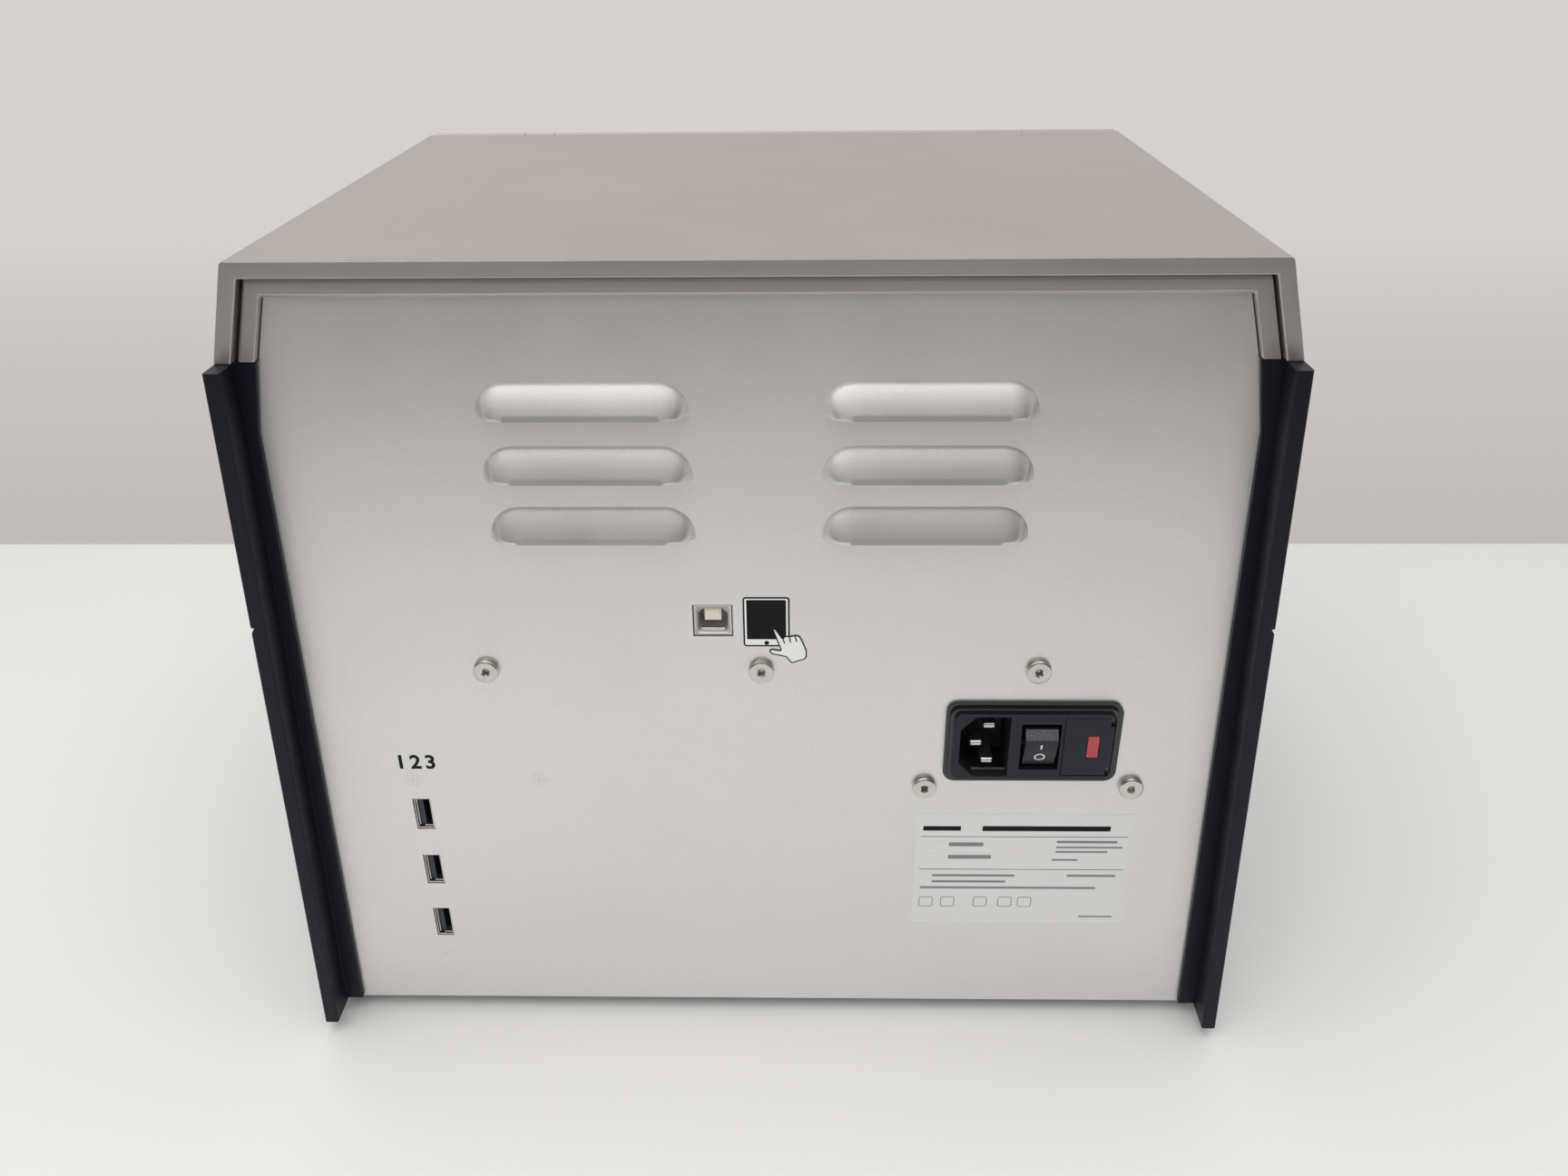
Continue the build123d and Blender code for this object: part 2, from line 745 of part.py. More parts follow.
# ---------------------------------------------------------------- inlet, switch and fuse module
module_face = rear_face + 3 * module_step
drawer_x = module_x + drawer_offset
switch_x = module_x + switch_offset
inlet_x = module_x + inlet_offset
pocket_inset = 2.2
rocker_pin = 1.0
pin_bite = 1.2
rocker_axis = module_face - 3.5
with BuildPart() as inlet_housing:
    for tier in range(3):
        with BuildSketch(facing_rear(rear_face + tier * module_step)):
            with Locations((module_x, module_z)):
                RectangleRounded(
                    module_width - 2 * tier * module_rim,
                    module_tall - 2 * tier * module_rim,
                    module_corner - tier * module_rim / 2,
                )
        extrude(amount=-module_step)
    with BuildSketch(facing_rear(rear_face)):
        with Locations((module_x, module_z)):
            Rectangle(module_cut_width - 2 * seat_gap, module_cut_tall - 2 * seat_gap)
    extrude(amount=module_depth)
    with BuildSketch(facing_rear(module_face)):
        with Locations((inlet_x, module_z)):
            Rectangle(inlet_width, inlet_tall)
            chamfer(vertices().group_by(Axis.X)[-1], length=inlet_chamfer)
    extrude(amount=inlet_depth, mode=Mode.SUBTRACT)
    with BuildSketch(facing_rear(module_face)):
        with Locations((switch_x, module_z)):
            Rectangle(switch_width, switch_tall)
    extrude(amount=switch_depth, mode=Mode.SUBTRACT)
    with BuildSketch(Plane.YZ.offset(switch_x - switch_width / 2 - pin_bite - seat_gap)):
        with Locations((rocker_axis, module_z)):
            Circle(rocker_pin + run_gap)
    extrude(amount=switch_width + 2 * (pin_bite + seat_gap), mode=Mode.SUBTRACT)
    with BuildSketch(facing_rear(module_face)):
        with Locations((drawer_x, module_z)):
            Rectangle(drawer_width, drawer_tall)
    extrude(amount=drawer_face, mode=Mode.SUBTRACT)
    with BuildSketch(facing_rear(module_face - drawer_face)):
        with Locations((drawer_x, module_z)):
            Rectangle(drawer_width - 2 * pocket_inset, drawer_tall - 2 * pocket_inset)
    extrude(amount=drawer_depth, mode=Mode.SUBTRACT)
write(inlet_housing, "inlet_housing")

earth_shift = 2.6
line_shift = -1.4
with BuildPart() as inlet_pins:
    with BuildSketch(facing_rear(module_face - inlet_depth)):
        with Locations(
            (inlet_x + earth_shift, module_z),
            (inlet_x + line_shift, module_z + pin_spread),
            (inlet_x + line_shift, module_z - pin_spread),
        ):
            Rectangle(pin_wide, pin_thick)
    extrude(amount=-pin_length)
    tips = inlet_pins.faces().filter_by(Axis.Y).group_by(Axis.Y)[-1]
    chamfer(tips.edges(), length=pin_break)
write(inlet_pins, "inlet_pins")

rocker_back = 5.0
ridge_proud = 2.6
ridge_rise = 2.4
heel_sunk = 1.2
crown_proud = 0.4
crown_trim = 0.3
keel_trim = 1.2
rocker_bow = 0.5
with BuildPart() as power_rocker:
    with BuildSketch(Plane.YZ.offset(switch_x - rocker_width / 2)):
        with BuildLine():
            ridge = (module_face + ridge_proud, module_z + ridge_rise)
            heel = (module_face - heel_sunk, module_z - rocker_tall / 2)
            crown = (module_face + crown_proud, module_z + rocker_tall / 2 - crown_trim)
            SagittaArc(heel, ridge, -rocker_bow)
            Polyline(
                ridge,
                crown,
                (rocker_axis - rocker_back / 2, module_z + rocker_tall / 2 - keel_trim),
                (rocker_axis - rocker_back / 2, module_z - rocker_tall / 2 + keel_trim),
                heel,
            )
        make_face()
    extrude(amount=rocker_width)
    with BuildSketch(Plane.YZ.offset(switch_x - switch_width / 2 - pin_bite)):
        with Locations((rocker_axis, module_z)):
            Circle(rocker_pin)
    extrude(amount=switch_width + 2 * pin_bite)
write(power_rocker, "power_rocker")

lens_shift = -1.6
fuse_channel = 5.8
fuse_spread = 4.6
drawer_body_width = drawer_width - 2 * pocket_inset - 2 * drawer_gap
drawer_body_tall = drawer_tall - 2 * pocket_inset - 2 * drawer_gap
drawer_reach = drawer_depth - drawer_gap
with BuildPart() as fuse_drawer:
    with BuildSketch(facing_rear(module_face)):
        with Locations((drawer_x, module_z)):
            Rectangle(drawer_width - 2 * drawer_gap, drawer_tall - 2 * drawer_gap)
        with Locations(
            (drawer_x - drawer_width / 2, module_z + drawer_tall / 2),
            (drawer_x - drawer_width / 2, module_z - drawer_tall / 2),
        ):
            Rectangle(2 * drawer_notch, 4 * drawer_notch, mode=Mode.SUBTRACT)
        with Locations((drawer_x + lens_shift, module_z)):
            Rectangle(lens_width, lens_tall, mode=Mode.SUBTRACT)
    extrude(amount=drawer_face)
    with BuildSketch(facing_rear(module_face - drawer_face)):
        with Locations((drawer_x, module_z)):
            Rectangle(drawer_body_width, drawer_body_tall)
    extrude(amount=drawer_reach)
    with BuildSketch(facing_rear(module_face - drawer_face - (drawer_reach - fuse_length) / 2)):
        with Locations(
            (drawer_x + drawer_body_width / 4, module_z + fuse_spread),
            (drawer_x + drawer_body_width / 4, module_z - fuse_spread),
        ):
            Rectangle(drawer_body_width, fuse_channel)
    extrude(amount=fuse_length, mode=Mode.SUBTRACT)
write(fuse_drawer, "fuse_drawer")

with BuildPart() as fuses:
    with BuildSketch(facing_rear(module_face - drawer_face - (drawer_reach - fuse_length) / 2 - drawer_gap)):
        with Locations(
            (drawer_x - drawer_body_width / 4 + fuse_radius + seat_gap, module_z + fuse_spread),
            (drawer_x - drawer_body_width / 4 + fuse_radius + seat_gap, module_z - fuse_spread),
        ):
            Circle(fuse_radius)
    extrude(amount=fuse_length - 2 * drawer_gap)
write(fuses, "fuses")

with BuildPart() as fuse_lens:
    with BuildSketch(facing_rear(module_face)):
        with Locations((drawer_x + lens_shift, module_z)):
            Rectangle(lens_width - drawer_gap, lens_tall - drawer_gap)
    extrude(amount=drawer_face)
write(fuse_lens, "fuse_lens")


# ---------------------------------------------------------------- chassis
foot_x = base_half_width - foot_inset_x
foot_y = overall_depth / 2 - foot_inset_y
front_wall = 3.0
sill_deep = 30.0
base_flange = 10.0
vent_length = 46.0
vent_gap = 8.0
vent_count = 3
vent_rows = (deck_y - carriage_spread, supply_y)  # under the chamber and under the rear bay
with BuildPart() as rubber_feet:
    with BuildSketch():
        with GridLocations(2 * foot_x, 2 * foot_y, 2, 2):
            Circle(foot_radius)
    extrude(amount=foot_tall)
    chamfer(rubber_feet.edges().group_by(Axis.Z)[0], length=edge_round)
write(rubber_feet, "rubber_feet")

base_front = front_y + front_wall
base_half = side_x(foot_tall) - panel_run - 2 * seat_gap
with BuildPart() as base_plate:
    with BuildSketch(Plane.XY.offset(foot_tall)):
        with Locations((0, (base_front + rear_inner) / 2)):
            Rectangle(2 * base_half, rear_inner - base_front)
        for y in vent_rows:
            with Locations((0, y)):
                with GridLocations(vent_length + vent_gap, vent_width + vent_gap, vent_count, vent_count):
                    Rectangle(vent_length, vent_width, mode=Mode.SUBTRACT)
    extrude(amount=base_thick)
    with BuildSketch(facing_rear(rear_inner)):
        with Locations((0, base_top + base_flange / 2)):
            Rectangle(2 * frame_plate_x - 2 * sheet, base_flange)
    extrude(amount=sheet)
write(base_plate, "base_plate")

heel_inset = 6.0
heel_y = slope_y(plinth_height, band_depth) + heel_inset
step_z = plinth_height + sill_gap + front_wall + door_clear / 2
with BuildPart() as right_frame_plate:
    with BuildSketch(Plane.YZ.offset(frame_plate_x)):
        with BuildLine():
            Polyline(
                (rear_inner, base_top),
                (rear_inner, frame_plate_top),
                (slope_y(frame_plate_top, door_clear), frame_plate_top),
                (slope_y(step_z, door_clear), step_z),
                (heel_y, step_z),
                (heel_y, base_top),
                close=True,
            )
        make_face()
    extrude(amount=sheet)
with BuildPart() as left_frame_plate:
    add(mirror(right_frame_plate.part, about=Plane.YZ, mode=Mode.PRIVATE))
write(right_frame_plate, "right_frame_plate")
write(left_frame_plate, "left_frame_plate")

cable_hole = 14.0
with BuildPart() as bulkhead:
    with BuildSketch(facing_rear(bulkhead_back)):
        with Locations((0, (base_top + frame_plate_top) / 2)):
            Rectangle(2 * frame_plate_x, frame_plate_top - base_top)
        with Locations(
            (-frame_plate_x / 2, frame_plate_top - cable_hole),
            (frame_plate_x / 2, step_z),
        ):
            Circle(cable_hole / 2, mode=Mode.SUBTRACT)
    extrude(amount=sheet)
write(bulkhead, "bulkhead")

scoop_drop = 5.0
light_z = 34.0
magnet_inset = 14.5
magnet_y = front_y + magnet_inset
with BuildPart() as front_panel:
    with BuildSketch(facing_rear(base_front)):
        with BuildLine():
            Polyline(
                (-flange_x(panel_base, seat_gap), panel_base),
                (-flange_x(plinth_height, seat_gap), plinth_height),
                (flange_x(plinth_height, seat_gap), plinth_height),
                (flange_x(panel_base, seat_gap), panel_base),
                close=True,
            )
        make_face()
        with Locations((0, light_z)):
            SlotOverall(light_width, light_tall, mode=Mode.SUBTRACT)
    extrude(amount=front_wall)
    with BuildSketch(Plane.XY.offset(plinth_height - front_wall)):
        with Locations((0, base_front + sill_deep / 2)):
            Rectangle(2 * flange_x(plinth_height, seat_gap), sill_deep)
        with Locations((0, magnet_y)):
            Rectangle(magnet_width + seat_gap, magnet_deep + seat_gap, mode=Mode.SUBTRACT)
    extrude(amount=front_wall)
    with BuildSketch(Plane.XY.offset(plinth_height)):
        with Locations((0, front_y)):
            SlotOverall(scoop_width, 2 * scoop_deep)
    extrude(amount=-scoop_drop, taper=15, mode=Mode.SUBTRACT)
write(front_panel, "front_panel")

with BuildPart() as status_light:
    with BuildSketch(facing_rear(base_front)):
        with Locations((0, light_z)):
            SlotOverall(light_width - seat_gap, light_tall - seat_gap)
    extrude(amount=front_wall)
write(status_light, "status_light")

# The catch magnet hangs in a cup under the sill and shows through it.
cup_wall = 2.0
with BuildPart() as door_magnet:
    with BuildSketch(Plane.XY.offset(plinth_height - magnet_tall)):
        with Locations((0, magnet_y)):
            Rectangle(magnet_width, magnet_deep)
    extrude(amount=magnet_tall)
    with BuildSketch(Plane.XY.offset(plinth_height - magnet_tall)):
        with Locations((0, magnet_y)):
            Rectangle(magnet_width + 4 * cup_wall, magnet_deep + 2 * cup_wall)
    extrude(amount=magnet_tall - front_wall)
write(door_magnet, "door_magnet")

# ---------------------------------------------------------------- fan behind the louvres
fan_z = (louvre_tops[0] + louvre_tops[-1] - louvre_tall) / 2
fan_plate = 2.5
fan_hole_pitch = 50.0
fan_hole = 2.1
fan_corner = 3.0
fan_lap = 1.0  # arms run this far into the frame
fan_arm = 3.5
fan_arm_turns = (30, 150, 270)
blade_bite = 0.5  # blades run this far into the hub
fan_tip_gap = 0.8
blade_thick = 1.2
blade_pitch = 35.0
rotor_front = rear_inner - fan_depth + fan_plate + seat_gap
rotor_depth = fan_depth - 2 * fan_plate - blade_bite
with BuildPart() as fan_housing:
    with BuildSketch(facing_rear(rear_inner)):
        with Locations((louvre_offset, fan_z)):
            Rectangle(fan_size, fan_size)
            chamfer(vertices(), length=fan_corner)
            Circle(fan_bore, mode=Mode.SUBTRACT)
            with GridLocations(fan_hole_pitch, fan_hole_pitch, 2, 2):
                RegularPolygon(fan_hole, boss_sides, mode=Mode.SUBTRACT)
    extrude(amount=fan_depth)
    with BuildSketch(facing_rear(rear_inner - fan_depth + fan_plate)):
        with Locations((louvre_offset, fan_z)):
            Circle(fan_hub + fan_lap)
            for turn in fan_arm_turns:
                with Locations(Rotation(0, 0, turn)):
                    with Locations((fan_bore / 2 + fan_lap, 0)):
                        Rectangle(fan_bore, fan_arm)
            Circle(rod_radius + run_gap, mode=Mode.SUBTRACT)
    extrude(amount=fan_plate)
write(fan_housing, "fan_housing")

blade_reach = fan_bore - fan_tip_gap - fan_hub
rotor_plane = Plane(origin=(louvre_offset, rotor_front, fan_z), x_dir=(1, 0, 0), z_dir=(0, 1, 0))
with BuildPart(rotor_plane) as fan_rotor:
    Cylinder(fan_hub, rotor_depth, align=(Align.CENTER, Align.CENTER, Align.MIN))
    Cylinder(rod_radius, fan_plate, align=(Align.CENTER, Align.CENTER, Align.MAX))
    with PolarLocations(fan_hub + blade_reach / 2 - blade_bite, fan_blades):
        with Locations((0, 0, rotor_depth / 2)):
            Box(blade_reach, rotor_depth, blade_thick, rotation=(90 - blade_pitch, 0, 0))
write(fan_rotor, "fan_rotor")

# ---------------------------------------------------------------- deck drive
rail_top = base_top + rail_foot + rail_tall
deck_base = rail_top + rail_tall
screw_z = base_top + deck_screw_rise
motor_front = bulkhead_y - motor_depth
bearing_inset = 25.0
bearing_y = front_y + bearing_inset
bearing_top = deck_base - bearing_drop
motor_corner = 3.0
groove_gap = 0.2
with BuildPart() as deck_rails:
    with BuildSketch(Plane.XY.offset(base_top)):
        with Locations((-rail_x, (rail_front + rail_back) / 2), (rail_x, (rail_front + rail_back) / 2)):
            Rectangle(rail_width + 2 * rail_foot_over, rail_back - rail_front)
    extrude(amount=rail_foot)
    with BuildSketch(Plane.XY.offset(base_top + rail_foot)):
        with Locations((-rail_x, (rail_front + rail_back) / 2), (rail_x, (rail_front + rail_back) / 2)):
            Rectangle(rail_width, rail_back - rail_front)
    extrude(amount=rail_tall)
    chamfer(deck_rails.edges().filter_by(Axis.Y).group_by(Axis.Z)[-1], length=rail_break)
write(deck_rails, "deck_rails")

with BuildPart() as rail_carriages:
    with BuildSketch(Plane.XY.offset(deck_base - carriage_tall)):
        with Locations((0, deck_y)):
            with GridLocations(2 * rail_x, 2 * carriage_spread, 2, 2):
                Rectangle(carriage_width, carriage_length)
    extrude(amount=carriage_tall)
    with BuildSketch(Plane.XY.offset(deck_base - carriage_tall)):
        with Locations((0, deck_y)):
            with GridLocations(2 * rail_x, 2 * carriage_spread, 2, 2):
                Rectangle(rail_width + 2 * groove_gap, carriage_length)
    extrude(amount=rail_top + groove_gap - deck_base + carriage_tall, mode=Mode.SUBTRACT)
write(rail_carriages, "rail_carriages")

with BuildPart() as deck_motor:
    with BuildSketch(facing_rear(bulkhead_y)):
        with Locations((0, screw_z)):
            Rectangle(motor_size, motor_size)
            chamfer(vertices(), length=motor_corner)
    extrude(amount=motor_depth)
write(deck_motor, "deck_motor")

with BuildPart() as screw_bearing:
    with BuildSketch(facing_rear(bearing_y + bearing_depth / 2)):
        with Locations((0, (base_top + bearing_top) / 2)):
            Rectangle(bearing_width, bearing_top - base_top)
        with Locations((0, screw_z)):
            Circle(screw_shaft_radius + run_gap, mode=Mode.SUBTRACT)
    extrude(amount=bearing_depth)
write(screw_bearing, "screw_bearing")

with BuildPart() as deck_lead_screw:
    with BuildSketch(facing_rear(motor_front)):
        with Locations((0, screw_z)):
            Circle(screw_shaft_radius)
    extrude(amount=motor_front - bearing_y + bearing_depth / 2)
write(deck_lead_screw, "deck_lead_screw")

with BuildPart() as deck_nut:
    with BuildSketch(facing_rear(deck_y + nut_length / 2)):
        with Locations((0, deck_base - nut_drop / 2)):
            Rectangle(2 * nut_half, nut_drop)
        with Locations((0, screw_z)):
            Circle(screw_shaft_radius + run_gap, mode=Mode.SUBTRACT)
    extrude(amount=nut_length)
write(deck_nut, "deck_nut")

with BuildPart() as deck_platform:
    with BuildSketch(Plane.XY.offset(deck_base)):
        with Locations((0, deck_y)):
            Rectangle(2 * deck_half_x, 2 * deck_half_y)
            chamfer(vertices(), length=tray_corner)
            with GridLocations(2 * nest_offset, deck_slot_spread, 2, 2):
                Rectangle(deck_slot_long, deck_slot_wide, mode=Mode.SUBTRACT)
    extrude(amount=plate_thick)
write(deck_platform, "deck_platform")

deck_top = deck_base + plate_thick
block_gap = 1.0
with BuildPart() as heater_blocks:
    with BuildSketch(Plane.XY.offset(deck_top)):
        with Locations((-nest_offset, deck_y), (nest_offset, deck_y)):
            Rectangle(nest_x - 2 * block_gap, nest_y - 2 * block_gap)
    extrude(amount=heater_tall)
    with BuildSketch(Plane.XY.offset(deck_top + heater_tall)):
        with Locations((-nest_offset, deck_y), (nest_offset, deck_y)):
            with GridLocations(rod_pitch, rod_column_gap, rod_rows, 2):
                Rectangle(well_size, well_size)
    extrude(amount=-well_deep, mode=Mode.SUBTRACT)
write(heater_blocks, "heater_blocks")

with BuildPart() as deck_tray:
    with BuildSketch(Plane.XY.offset(deck_top)):
        with Locations((0, deck_y)):
            Rectangle(2 * (deck_half_x + tray_over), 2 * (deck_half_y + tray_lap))
            chamfer(vertices(), length=tray_corner)
            with GridLocations(2 * nest_offset, 0, 2, 1):
                Rectangle(nest_x, nest_y, mode=Mode.SUBTRACT)
    extrude(amount=tray_tall)
    chamfer(deck_tray.faces().sort_by(Axis.Z)[-1].outer_wire().edges(), length=edge_round)
    with BuildSketch(facing_rear(deck_y + deck_half_y + 2 * tray_lap)):
        with Locations((0, deck_top + tray_tall / 2)):
            with GridLocations(2 * (deck_half_x + tray_over), 0, 2, 1):
                RegularPolygon(tray_tall / 4, boss_sides)
    extrude(amount=2 * deck_half_y + 4 * tray_lap, mode=Mode.SUBTRACT)
write(deck_tray, "deck_tray")


# ---------------------------------------------------------------- gantry and head drive
window_half = 42.0
gantry_post = 24.0
shelf_half_x = 20.0
shelf_front = 2.0
shaft_seat = 0.02
gantry_top = frame_plate_top
gantry_mid = (gantry_base + gantry_top) / 2
with BuildPart() as gantry_frame:
    with BuildSketch(facing_rear(gantry_face + gantry_thick)):
        with Locations((0, gantry_mid)):
            Rectangle(2 * frame_plate_x, gantry_top - gantry_base)
            with GridLocations(2 * window_half + gantry_post, 0, 2, 1):
                RegularPolygon(window_half, boss_sides, mode=Mode.SUBTRACT)
    extrude(amount=gantry_thick)
    for level in (gantry_base, upper_block):
        with BuildSketch(Plane.XY.offset(level)):
            with Locations((0, (shaft_y + gantry_face) / 2 - block_width / 4)):
                with GridLocations(2 * shaft_x, 0, 2, 1):
                    Rectangle(block_width, gantry_face - shaft_y + block_width / 2)
        extrude(amount=block_tall)
    with BuildSketch(Plane.XY.offset(gantry_base)):
        with Locations((0, (shaft_y + gantry_face) / 2 - block_width / 4)):
            Rectangle(block_width, gantry_face - shaft_y + block_width / 2)
    extrude(amount=block_tall)
    with BuildSketch(Plane.XY.offset(head_motor_base - front_wall)):
        with Locations((0, (shelf_front + gantry_face) / 2)):
            Rectangle(2 * shelf_half_x, gantry_face - shelf_front)
        with Locations((0, shaft_y)):
            Circle(screw_shaft_radius + block_gap, mode=Mode.SUBTRACT)
    extrude(amount=front_wall)
    with BuildSketch(Plane.XY.offset(gantry_base)):
        with Locations((0, shaft_y)):
            Circle(screw_shaft_radius + run_gap)
    extrude(amount=block_tall, mode=Mode.SUBTRACT)
    with BuildSketch(Plane.XY.offset(gantry_base)):
        with Locations((-shaft_x, shaft_y), (shaft_x, shaft_y)):
            Circle(shaft_radius + shaft_seat)
    extrude(amount=gantry_top - gantry_base, mode=Mode.SUBTRACT)
write(gantry_frame, "gantry_frame")

with BuildPart() as guide_shafts:
    with BuildSketch(Plane.XY.offset(gantry_base)):
        with Locations((-shaft_x, shaft_y), (shaft_x, shaft_y)):
            Circle(shaft_radius)
    extrude(amount=gantry_top - gantry_base)
write(guide_shafts, "guide_shafts")

with BuildPart() as head_motor:
    with BuildSketch(Plane.XY.offset(head_motor_base)):
        with Locations((0, shaft_y)):
            Rectangle(motor_size, motor_size)
            chamfer(vertices(), length=motor_corner)
    extrude(amount=head_motor_tall)
write(head_motor, "head_motor")

with BuildPart() as head_lead_screw:
    with BuildSketch(Plane.XY.offset(gantry_base)):
        with Locations((0, shaft_y)):
            Circle(screw_shaft_radius)
    extrude(amount=head_motor_base - gantry_base)
write(head_lead_screw, "head_lead_screw")

# ---------------------------------------------------------------- head carriage
head_plate_back = head_plate_front + plate_thick
cheek = 4.0
cheek_foot = 14.0
with BuildPart() as head_carriage:
    with BuildSketch(facing_rear(head_plate_back)):
        with Locations((0, (holder_base + head_top) / 2)):
            Rectangle(2 * head_half_x, head_top - holder_base)
        with Locations((0, housing_base + housing_tall / 2)):
            Rectangle(2 * shaft_x + housing_width, housing_tall)
        with Locations((0, (holder_base + housing_base) / 2 + cheek)):
            Rectangle(2 * bar_half_x - 4 * cheek, housing_base - holder_base - 3 * cheek, mode=Mode.SUBTRACT)
    extrude(amount=plate_thick)
    with BuildSketch(Plane.XY.offset(housing_base)):
        with Locations((0, (head_plate_back + housing_back) / 2)):
            with GridLocations(2 * shaft_x, 0, 2, 1):
                Rectangle(housing_width, housing_back - head_plate_back)
    extrude(amount=housing_tall)
    with BuildSketch(Plane.XY.offset(head_top - head_top_thick)):
        with Locations((0, (head_front + head_plate_front) / 2)):
            Rectangle(2 * head_half_x, head_plate_front - head_front)
    extrude(amount=head_top_thick)
    for side in (-head_half_x, head_half_x - cheek):
        with BuildSketch(Plane.YZ.offset(side)):
            with BuildLine():
                Polyline(
                    (head_plate_front, holder_base + holder_thick),
                    (head_plate_front, head_top - head_top_thick),
                    (head_front, head_top - head_top_thick),
                    (head_front, head_top - head_top_thick - cheek_foot),
                    (head_plate_front - 2 * cheek_foot, (holder_base + head_top) / 2),
                    (head_front, holder_base + holder_thick + cheek_foot),
                    (head_front, holder_base + holder_thick),
                    close=True,
                )
            make_face()
        extrude(amount=cheek)
    with BuildSketch(Plane.XY.offset(housing_base)):
        with Locations((-shaft_x, shaft_y), (shaft_x, shaft_y)):
            Circle(bushing_radius + shaft_seat)
    extrude(amount=housing_tall, mode=Mode.SUBTRACT)
    with BuildSketch(Plane.XY.offset(head_top - head_top_thick)):
        with Locations((0, head_y)):
            Circle(lift_screw_radius + run_gap)
    extrude(amount=head_top_thick, mode=Mode.SUBTRACT)
write(head_carriage, "head_carriage")

with BuildPart() as guide_bushings:
    with BuildSketch(Plane.XY.offset(housing_base + (housing_tall - bushing_length) / 2)):
        with Locations((-shaft_x, shaft_y), (shaft_x, shaft_y)):
            Circle(bushing_radius)
            Circle(shaft_radius + run_gap, mode=Mode.SUBTRACT)
    extrude(amount=bushing_length)
write(guide_bushings, "guide_bushings")

with BuildPart() as head_nut:
    with BuildSketch(Plane.XY.offset(housing_base + (housing_tall - nut_length) / 2)):
        with Locations((0, (head_plate_back + housing_back) / 2)):
            Rectangle(2 * nut_half, housing_back - head_plate_back)
        with Locations((0, shaft_y)):
            Circle(screw_shaft_radius + run_gap, mode=Mode.SUBTRACT)
    extrude(amount=nut_length)
write(head_nut, "head_nut")


def rod_field(radius, mode=Mode.ADD):
    """A polygon for every rod, over the two nests, in the current sketch."""
    with Locations((-nest_offset, head_y), (nest_offset, head_y)):
        with GridLocations(rod_pitch, rod_column_gap, rod_rows, 2):
            RegularPolygon(radius, rod_sides, mode=mode)


rod_clearance = 1.0
guide_radius = 3.0
guide_places = ((-nest_offset, head_y), (nest_offset, head_y))
with BuildPart() as sleeve_holder:
    with BuildSketch(Plane.XY.offset(holder_base)):
        with Locations((0, (head_front + head_plate_front) / 2)):
            Rectangle(2 * head_half_x, head_plate_front - head_front)
        rod_field(magnet_radius + rod_clearance, mode=Mode.SUBTRACT)
        with Locations((0, head_y)):
            Circle(lift_screw_radius + run_gap, mode=Mode.SUBTRACT)
    extrude(amount=holder_thick)
write(sleeve_holder, "sleeve_holder")

with BuildPart() as lift_guides:
    with BuildSketch(Plane.XY.offset(holder_base + holder_thick)):
        with Locations(*guide_places):
            Circle(guide_radius)
    extrude(amount=head_top - head_top_thick - holder_base - holder_thick)
write(lift_guides, "lift_guides")

with BuildPart() as lift_motor:
    with BuildSketch(Plane.XY.offset(head_top)):
        with Locations((0, head_y)):
            Rectangle(motor_size, motor_size)
            chamfer(vertices(), length=motor_corner)
    extrude(amount=lift_motor_tall)
write(lift_motor, "lift_motor")

with BuildPart() as lift_screw:
    with BuildSketch(Plane.XY.offset(holder_base + lift_screw_short)):
        with Locations((0, head_y)):
            Circle(lift_screw_radius)
    extrude(amount=head_top - holder_base - lift_screw_short)
write(lift_screw, "lift_screw")

with BuildPart() as magnet_bar:
    with BuildSketch(Plane.XY.offset(bar_base)):
        with Locations((0, (bar_front + bar_back) / 2)):
            Rectangle(2 * bar_half_x, bar_back - bar_front)
            chamfer(vertices(), length=motor_corner)
        with Locations(*guide_places):
            Circle(guide_radius + run_gap, mode=Mode.SUBTRACT)
        with Locations((0, head_y)):
            Circle(lift_screw_radius + run_gap, mode=Mode.SUBTRACT)
    extrude(amount=bar_thick)
write(magnet_bar, "magnet_bar")

with BuildPart() as magnet_rods:
    with BuildSketch(Plane.XY.offset(magnet_tip)):
        rod_field(magnet_radius)
    extrude(amount=bar_base - magnet_tip)
write(magnet_rods, "magnet_rods")

# ---------------------------------------------------------------- lamp over the deck
cap_tall = 18.0
cap_lip = 1.5
cap_front = lamp_y - lamp_radius - cap_lip
with BuildPart() as lamp_holders:
    with BuildSketch(facing_rear(bulkhead_y)):
        with Locations((0, lamp_z)):
            with GridLocations(2 * lamp_half, 0, 2, 1):
                Rectangle(2 * cap_length, cap_tall)
    extrude(amount=bulkhead_y - cap_front)
    with BuildSketch(Plane.YZ.offset(-lamp_half)):
        with Locations((lamp_y, lamp_z)):
            Circle(lamp_radius + seat_gap)
    extrude(amount=2 * lamp_half, mode=Mode.SUBTRACT)
write(lamp_holders, "lamp_holders")

with BuildPart() as sanitising_lamp:
    with BuildSketch(Plane.YZ.offset(-lamp_half)):
        with Locations((lamp_y, lamp_z)):
            Circle(lamp_radius)
    extrude(amount=2 * lamp_half)
write(sanitising_lamp, "sanitising_lamp")

# ---------------------------------------------------------------- front door
half_grow = cos(slope_angle) * tan(side_lean)  # widening of the door per mm down the slope
door_depth = band_depth - band_gap
cover_flare = (seam_half_width - top_half_width) / band_depth
door_base_z = plinth_height + sill_gap
door_origin = Plane(
    origin=(0, top_front, top_height),
    x_dir=(1, 0, 0),
    z_dir=(0, -sin(slope_angle), -cos(slope_angle)),
)


